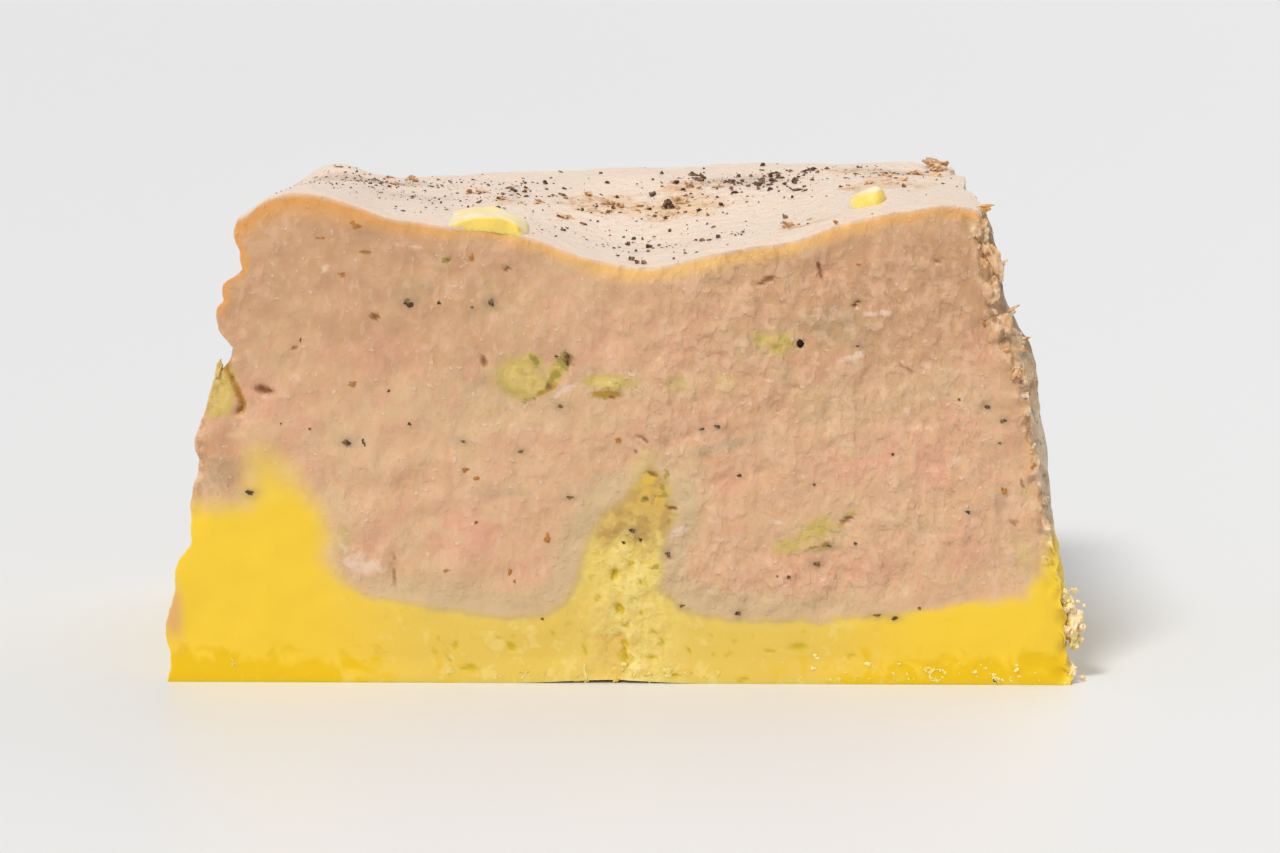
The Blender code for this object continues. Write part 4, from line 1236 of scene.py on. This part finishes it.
def lump(bm, place, half, turns, seed, detail, uneven):
    """Adds a lumpy bit to a bmesh, turned about its three axes."""
    stand = Matrix.Translation(place) @ Euler(turns).to_matrix().to_4x4()
    made = bmesh.ops.create_icosphere(bm, subdivisions=detail, radius=1.0)
    start = Vector((1.7 * seed, 0.9 * seed, -seed))
    for vertex in made["verts"]:
        way = vertex.co.copy()
        rough = noise.noise(way * 1.1 + start) + 0.7 * noise.noise(way * 2.6 + start)
        swell = 1.0 + uneven * rough
        vertex.co = stand @ Vector([w * h * swell for w, h in zip(way, half)])


def any_turns(draw, most=3.1):
    """A random turn about each axis."""
    return [draw.uniform(0.0, most) for _ in range(3)]


def add_bits(name, bm, material, slot=None, smooth=False, masked=False):
    """Finishes a mesh of small bits, worked in millimetres and held inside the block's box."""
    for vertex in bm.verts:
        vertex.co = held_in(*vertex.co, 0.0)
    bmesh.ops.scale(bm, verts=bm.verts, vec=(MM, MM, MM))
    mesh = finish_mesh(bm, name)
    if smooth:
        shade_smooth(mesh, 60.0)
    if masked:
        masks = masks_of(read_points(mesh) / MM)
        paint(mesh, {**masks, "skin": 0.0 * masks["skin"], "cream": 0.0 * masks["cream"]})
    dress(mesh, material)
    settle(add_object(name, mesh), slot)


def at_one(surface, *place):
    """Reads one of the block's surfaces at a single place."""
    return float(surface(*(np.array([value]) for value in place))[0])


def on_top(x, y):
    """Height of the top under a bit that lies on it."""
    return at_one(top_surface, x, y)


def near_chip(x, y, margin):
    """Whether a place on the top is on a fat chip or close beside it."""
    return any(
        abs(x - chip_x) < half_x + margin and abs(y - chip_y) < half_y + margin
        for _, (chip_x, chip_y), (half_x, half_y), _ in CHIPS
    )


def add_pepper():
    """Coarse and fine ground pepper on the top."""
    bm = bmesh.new()
    draw = random.Random(PEPPER_SEED)
    laid = 0
    while laid < PEPPER_GRAINS:
        x = draw.gauss(PEPPER_MIDDLE, PEPPER_SPREAD)
        y = draw.uniform(FRONT + EDGE_MARGIN, -FRONT - EDGE_MARGIN)
        radius = draw.uniform(*PEPPER_RADIUS)
        if abs(x) > PEPPER_REACH or near_chip(x, y, 2.0):
            continue
        flat = draw.uniform(0.6, 0.9)
        size = 0.35 * radius
        half = (size, size * flat, size * 0.8)
        lump(bm, (x, y, on_top(x, y) + 0.4 * size), half, (0.0, 0.4, 3.0 * laid), laid, 2, 0.9)
        laid += 1
    (x, y), half = BIG_GRAIN
    lump(bm, (x, y, on_top(x, y) + 0.2), half, (0.2, 0.3, 0.4), 77.0, 3, 0.9)
    for (middle_x, middle_y), (spread_x, spread_y), count, coarse in PEPPER_DUSTINGS:
        for i in range(count):
            x, y = draw.gauss(middle_x, spread_x), draw.gauss(middle_y, spread_y)
            size = 0.05 + coarse * draw.random() ** 2.5
            long = draw.uniform(1.0, 1.9) if draw.random() > 0.08 else 3.0
            turns = (0.0, draw.uniform(-0.4, 0.4), draw.uniform(0.0, 3.1))
            if abs(x) > DUST_REACH or abs(y) > -FRONT - DUST_MARGIN or near_chip(x, y, 0.2):
                continue
            half = (size * long, size * 0.9, size * 0.7)
            detail = 2 if size > 0.2 else 1
            lump(bm, (x, y, on_top(x, y) + 0.3 * size), half, turns, i, detail, 1.0)
    add_bits("pepper", bm, bits_finish("pepper"))


# The one round hole in the cut face, a black disc of painted shade: (x, z), half sizes (x, z)
ROUND_HOLE_SHADE = ((18.9, 35.9), (0.44, 0.42))
# Dark specks in the cut face: (x, z), half sizes (x, z)
SPECKS = [
    ((-21.4, 40.1), (0.55, 0.40)), ((-13.1, 40.2), (0.25, 0.42)),
    ((-28.1, 25.5), (0.40, 0.32)), ((-26.3, 25.4), (0.20, 0.40)), ((-16.0, 25.6), (0.25, 0.15)),
    ((-10.0, 24.6), (0.25, 0.15)), ((-4.9, 19.7), (0.55, 0.18)), ((-14.7, 17.1), (0.15, 0.15)),
    ((-7.8, 6.8), (0.22, 0.15)), ((6.8, 8.2), (0.25, 0.18)), ((12.6, 7.4), (0.28, 0.20)),
    ((20.5, 21.2), (0.20, 0.18)), ((12.7, 22.1), (0.22, 0.15)), ((38.3, 29.5), (0.25, 0.18)),
    ((39.9, 28.0), (0.30, 0.18)), ((39.7, 25.7), (0.20, 0.15)), ((36.5, 18.4), (0.25, 0.15)),
    ((27.2, 7.3), (0.35, 0.18)), ((29.1, 7.0), (0.30, 0.22)), ((31.6, 8.1), (0.20, 0.15)),
    ((22.0, 14.7), (0.28, 0.20)), ((24.8, 15.0), (0.20, 0.15)), ((20.9, 12.8), (0.30, 0.22)),
    ((16.8, 11.5), (0.20, 0.15)), ((17.9, 11.4), (0.20, 0.15)), ((5.3, 13.7), (0.35, 0.22)),
    ((1.6, 16.3), (0.28, 0.22)), ((2.5, 15.3), (0.22, 0.18)), ((0.7, 15.0), (0.20, 0.15)),
    ((-38.2, 20.1), (0.50, 0.30)), ((-32.8, 36.2), (0.12, 0.20)), ((-23.7, 30.9), (0.15, 0.20)),
    ((-34.9, 27.4), (0.12, 0.12)), ((-21.6, 27.5), (0.18, 0.14)), ((-5.0, 34.5), (0.26, 0.30)),
    ((-5.2, 33.6), (0.16, 0.40)), ((-6.3, 34.6), (0.14, 0.16)), ((10.6, 27.3), (0.40, 0.15)),
    ((8.8, 27.0), (0.30, 0.12)), ((25.0, 35.7), (0.35, 0.15)), ((24.9, 40.3), (0.30, 0.14)),
    ((35.4, 30.2), (0.18, 0.14)), ((28.6, 24.4), (0.18, 0.14)), ((-31.9, 26.9), (0.12, 0.12)),
    ((-18.4, 40.2), (0.20, 0.22)), ((-15.0, 39.7), (0.18, 0.14)), ((-5.9, 29.3), (0.30, 0.18)),
]
# Bits of red vein in the cut face: (x, z), half sizes (x, z)
VEINS = [
    ((-27.0, 48.2), (0.45, 0.30)), ((-30.6, 46.8), (0.40, 0.12)), ((-26.0, 45.4), (0.50, 0.12)),
    ((-15.2, 45.0), (0.40, 0.50)), ((-28.4, 43.0), (0.35, 0.25)), ((-27.5, 31.6), (0.45, 0.30)),
    ((-15.9, 22.6), (0.45, 0.30)), ((-14.5, 21.8), (0.40, 0.16)), ((-7.2, 15.2), (0.40, 0.45)),
    ((-17.7, 12.0), (0.40, 0.14)), ((-11.2, 11.6), (0.18, 0.40)), ((-10.7, 10.8), (0.22, 0.22)),
    ((0.0, 25.8), (0.28, 0.22)), ((40.1, 20.7), (0.35, 0.35)), ((43.2, 23.2), (0.22, 0.30)),
    ((37.9, 38.1), (0.16, 0.40)), ((22.4, 48.6), (0.20, 0.15)), ((24.8, 44.2), (0.20, 0.15)),
]


def add_spots(name, spots, material, grow=1.0, deep=0.12, uneven=0.9):
    """Small bits held in the cut face, which show as specks."""
    bm = bmesh.new()
    for seed, ((x, z), (half_x, half_z)) in enumerate(spots):
        place = (x, at_one(front_y, x, z) + 0.05, z)
        half = (grow * half_x, deep, grow * half_z)
        lump(bm, place, half, (0.0, 0.0, 0.0), seed, 3, uneven)
    add_bits(name, bm, material, smooth=True)


def held_in(x, y, z, reach):
    """A place moved in, where need be, so that a bit of that reach stays in the block's box."""
    z = min(max(z, reach), BIT_LIMIT_Z - reach)
    return min(x, BIT_LIMIT_X - reach), max(y, FRONT + reach), z


def add_rim_bits():
    """Torn flakes and crumbs of liver along the broken right edge."""
    bm = bmesh.new()
    draw = random.Random(RIM_SEED)
    for seed, (tip_x, y, tip_z) in enumerate(FLAKE_TIPS):
        for i in range(TUFT_BITS):
            long = draw.uniform(0.3, 0.5) + (0.35 if i == 0 else 0.0)
            half = (long, 0.2, 0.17 if i == 0 else draw.uniform(0.2, 0.35))
            place = (tip_x - long - 0.3 * i, y, tip_z - 0.3 * i)
            lump(bm, place, half, (0.0, draw.uniform(-0.5, 0.1), 0.0), 7.0 * seed + i, 3, 0.5)
    place, half, turn = CREASE_CURL
    lump(bm, place, half, (0.0, turn, 0.0), 3.0, 3, 0.6)
    for seed, (place, half, turn) in enumerate(RIM_LUMPS):
        lump(bm, place, half, (0.0, turn, 0.0), seed + 0.5, 4, 0.6)
    for seed in range(RIM_CRUMBS):
        z = draw.uniform(*RIM_CRUMB_HEIGHTS)
        back = draw.uniform(*RIM_CRUMB_BACKS)
        size = 0.25 + 0.75 * draw.random() ** 2
        x = at_one(right_x, z, back) - draw.uniform(0.1, 1.0) - 0.5 * size
        place = held_in(x, DEPTH * (back - 0.5), z, size)
        half = (size * draw.uniform(0.3, 0.6), size * 0.5, size)
        lump(bm, place, half, any_turns(draw, 1.2), seed, 3, 0.7)
    material = block_finish("rim_liver", LIVER_SCATTER)
    add_bits("rim_bits", bm, material, "liver", smooth=True, masked=True)


def add_fat_crumbs():
    """Crumbs of fat low on the right side, and the scraps and bubbles along the base."""
    bm = bmesh.new()
    draw = random.Random(CRUMBS_SEED)
    for seed, (place, radius) in enumerate(CRUMBS):
        half = (0.9 * radius, 0.7 * radius, 0.9 * radius)
        lump(bm, held_in(*place, radius), half, any_turns(draw), seed, 4, 0.6)
        for i in range(SIDE_CRUMBS):
            size = 0.12 + 0.35 * draw.random() ** 2
            x, y, z = (middle + draw.gauss(0.0, 0.6) for middle in place)
            half = (size * draw.uniform(0.6, 1.3), size, size * draw.uniform(0.5, 0.9))
            lump(bm, held_in(x, y, z, size), half, any_turns(draw), 10.0 * seed + i, 3, 0.8)
    add_bits("side_crumbs", bm, bits_finish("side_crumbs"), "yellow_fat", smooth=True)

    bm = bmesh.new()
    for seed in range(BASE_SCRAPS):
        x, size = draw.uniform(*BASE_SCRAP_SPAN), 0.3 + 0.5 * draw.random() ** 2
        z = size * 0.6 + draw.uniform(0.0, 0.8)
        y = at_one(front_y, x, z)
        half = (size * draw.uniform(0.6, 1.3), 0.6 * size, size)
        lump(bm, held_in(x, y + 0.45 * size, z, size), half, any_turns(draw, 1.0), seed, 3, 1.2)
    for seed, (place, half) in enumerate(STRANDS):
        lump(bm, place, half, (0.0, 0.25 * seed, 0.0), seed, 3, 0.9)
    add_bits("fat_crumbs", bm, bits_finish("fat_crumbs"), "yellow_fat", smooth=True)

    bm = bmesh.new()
    for seed in range(BASE_BUBBLES):
        x = BUBBLES_FROM + BUBBLES_WIDTH * draw.random() ** 0.7
        size = 0.08 + 0.24 * draw.random() ** 3
        z = size + 0.15 + 2.4 * draw.random() ** 1.5
        y = at_one(front_y, x, z)
        half = (size * draw.uniform(0.8, 1.8), size, size)
        lump(bm, held_in(x, y + 0.6 * size, z, size), half, any_turns(draw, 0.6), seed, 2, 0.8)
    for middle_x, middle_z, radius in BASE_CURLS:
        for i in range(CURL_BITS):
            turn = 5.0 * i / CURL_BITS + 0.4
            away = radius * draw.uniform(0.8, 1.1)
            x, z = middle_x + away * math.cos(turn), middle_z + 0.7 * away * math.sin(turn)
            place = (x, at_one(front_y, x, z) + 0.03, max(z, 0.2))
            half = (draw.uniform(0.12, 0.3), 0.12, draw.uniform(0.08, 0.16))
            lump(bm, place, half, (0.0, -turn - 1.57, 0.0), 5.0 * radius + i, 2, 0.9)
    add_bits("pale_bubbles", bm, bits_finish("pale_bubbles"), "yellow_fat", smooth=True)


# Torn scraps on the top: middle (x, y), how far they spread, how many
SCRAP_HEAPS = [
    ((36.3, 21.0), 0.9, 9), ((-10.0, -4.0), 1.6, 5), ((-1.5, 2.5), 2.6, 8), ((6.0, 2.0), 2.6, 8),
    ((19.5, -16.0), 1.2, 4), ((29.0, 3.0), 2.0, 7), ((8.0, 9.0), 2.0, 6), ((33.5, 12.0), 2.4, 8),
    ((-24.5, 16.0), 2.6, 6), ((-13.0, 6.0), 2.0, 5),
]
# The parts of the top that scraps may lie on, and the x past which they lie in a high heap
SCRAPS_X = (-37.5, 37.6)
SCRAPS_Y = (-23.0, 23.4)
HIGH_HEAP_X = 35.0


def add_scraps():
    """Tan scraps of torn liver that lie on the top, heaped at its far right corner."""
    bm = bmesh.new()
    draw = random.Random(SCRAPS_SEED)
    for (middle_x, middle_y), spread, count in SCRAP_HEAPS:
        heaped = middle_x > HIGH_HEAP_X
        for seed in range(count):
            x = float(np.clip(draw.gauss(middle_x, spread), *SCRAPS_X))
            y = float(np.clip(draw.gauss(middle_y, spread), *SCRAPS_Y))
            size = 0.2 + 0.55 * draw.random() ** 2 + (0.35 if heaped else 0.0)
            lift = 0.5 * size if heaped else 0.05
            place = held_in(x, y, on_top(x, y) + lift, size)
            half = (size, size * draw.uniform(0.4, 0.8), size * 0.45)
            lump(bm, place, half, (0.2, 0.3, draw.uniform(0.0, 3.1)), seed, 3, 1.2)
    add_bits("torn_scraps", bm, bits_finish("torn_scraps"), "liver", smooth=True)


# Stage, lights and camera


CAMERA_PLACE = Vector((3.35, -387.86, 87.61))
CAMERA_PITCH, CAMERA_YAW, CAMERA_ROLL = -9.42, -0.158, 0.182
CAMERA_LENS, CAMERA_SENSOR = 100.0, 36.0
NEAREST_SEEN = 0.01
FLOOR_REACH = 15.0
FLOOR_COLOUR = (0.76, 0.755, 0.745, 1.0)
FLOOR_ROUGHNESS = 0.45
SKY_COLOUR = (0.97, 0.98, 1.0, 1.0)
SKY_STRENGTH = 0.5
# Lights: name, the way to its source, strength, spread in degrees
SUNS = [("key", (-0.5, -0.75, 1.2), 2.2, 14.0), ("back", (0.5, 0.8, 1.0), 0.5, 50.0)]


def add_camera():
    """The camera, at the photograph's viewing angle."""
    pitch, yaw, roll = (math.radians(a) for a in (CAMERA_PITCH, CAMERA_YAW, CAMERA_ROLL))
    level = math.cos(pitch)
    ahead = Vector((math.sin(yaw) * level, math.cos(yaw) * level, math.sin(pitch)))
    right = Vector((math.cos(yaw), -math.sin(yaw), 0.0))
    up = right.cross(ahead)
    turned_right = right * math.cos(roll) + up * math.sin(roll)
    turned_up = up * math.cos(roll) - right * math.sin(roll)
    data = bpy.data.cameras.new("camera")
    data.lens = CAMERA_LENS
    data.sensor_width = CAMERA_SENSOR
    data.clip_start = NEAREST_SEEN
    camera = add_object("camera", data)
    turn = Matrix((turned_right, turned_up, -ahead)).transposed()
    camera.matrix_world = Matrix.Translation((CAMERA_PLACE + SHIFT) * MM) @ turn.to_4x4()
    bpy.context.scene.camera = camera


def add_sun(name, source, strength, spread):
    """A soft light from far away, which falls evenly on the floor."""
    data = bpy.data.lights.new(name, "SUN")
    data.energy = strength
    data.angle = math.radians(spread)
    lamp = add_object(name, data)
    lamp.rotation_euler = Vector(source).to_track_quat("Z", "Y").to_euler()


def add_stage():
    """A pale floor under soft studio light."""
    bm = bmesh.new()
    bmesh.ops.create_grid(bm, x_segments=2, y_segments=2, size=FLOOR_REACH)
    floor = add_object("floor", finish_mesh(bm, "floor"))
    made = bpy.data.materials.new("floor")
    made.use_nodes = True
    shader = made.node_tree.nodes["Principled BSDF"]
    shader.inputs["Base Color"].default_value = FLOOR_COLOUR
    shader.inputs["Roughness"].default_value = FLOOR_ROUGHNESS
    floor.data.materials.append(made)
    world = bpy.data.worlds.new("studio")
    bpy.context.scene.world = world
    world.use_nodes = True
    sky = world.node_tree.nodes["Background"]
    sky.inputs["Color"].default_value = SKY_COLOUR
    sky.inputs["Strength"].default_value = SKY_STRENGTH
    for sun in SUNS:
        add_sun(*sun)
    bpy.context.scene.view_settings.view_transform = "Standard"


add_camera()
add_stage()
add_liver_and_fat()
add_pockets()
add_chips()
add_pepper()
add_spots("specks", SPECKS, bits_finish("speck"))
add_spots("round_hole_shade", [ROUND_HOLE_SHADE], bits_finish("round_hole_shade"), deep=0.3, uneven=0.3)
add_spots("veins", VEINS, bits_finish("vein"), grow=1.05)
add_rim_bits()
add_fat_crumbs()
add_scraps()
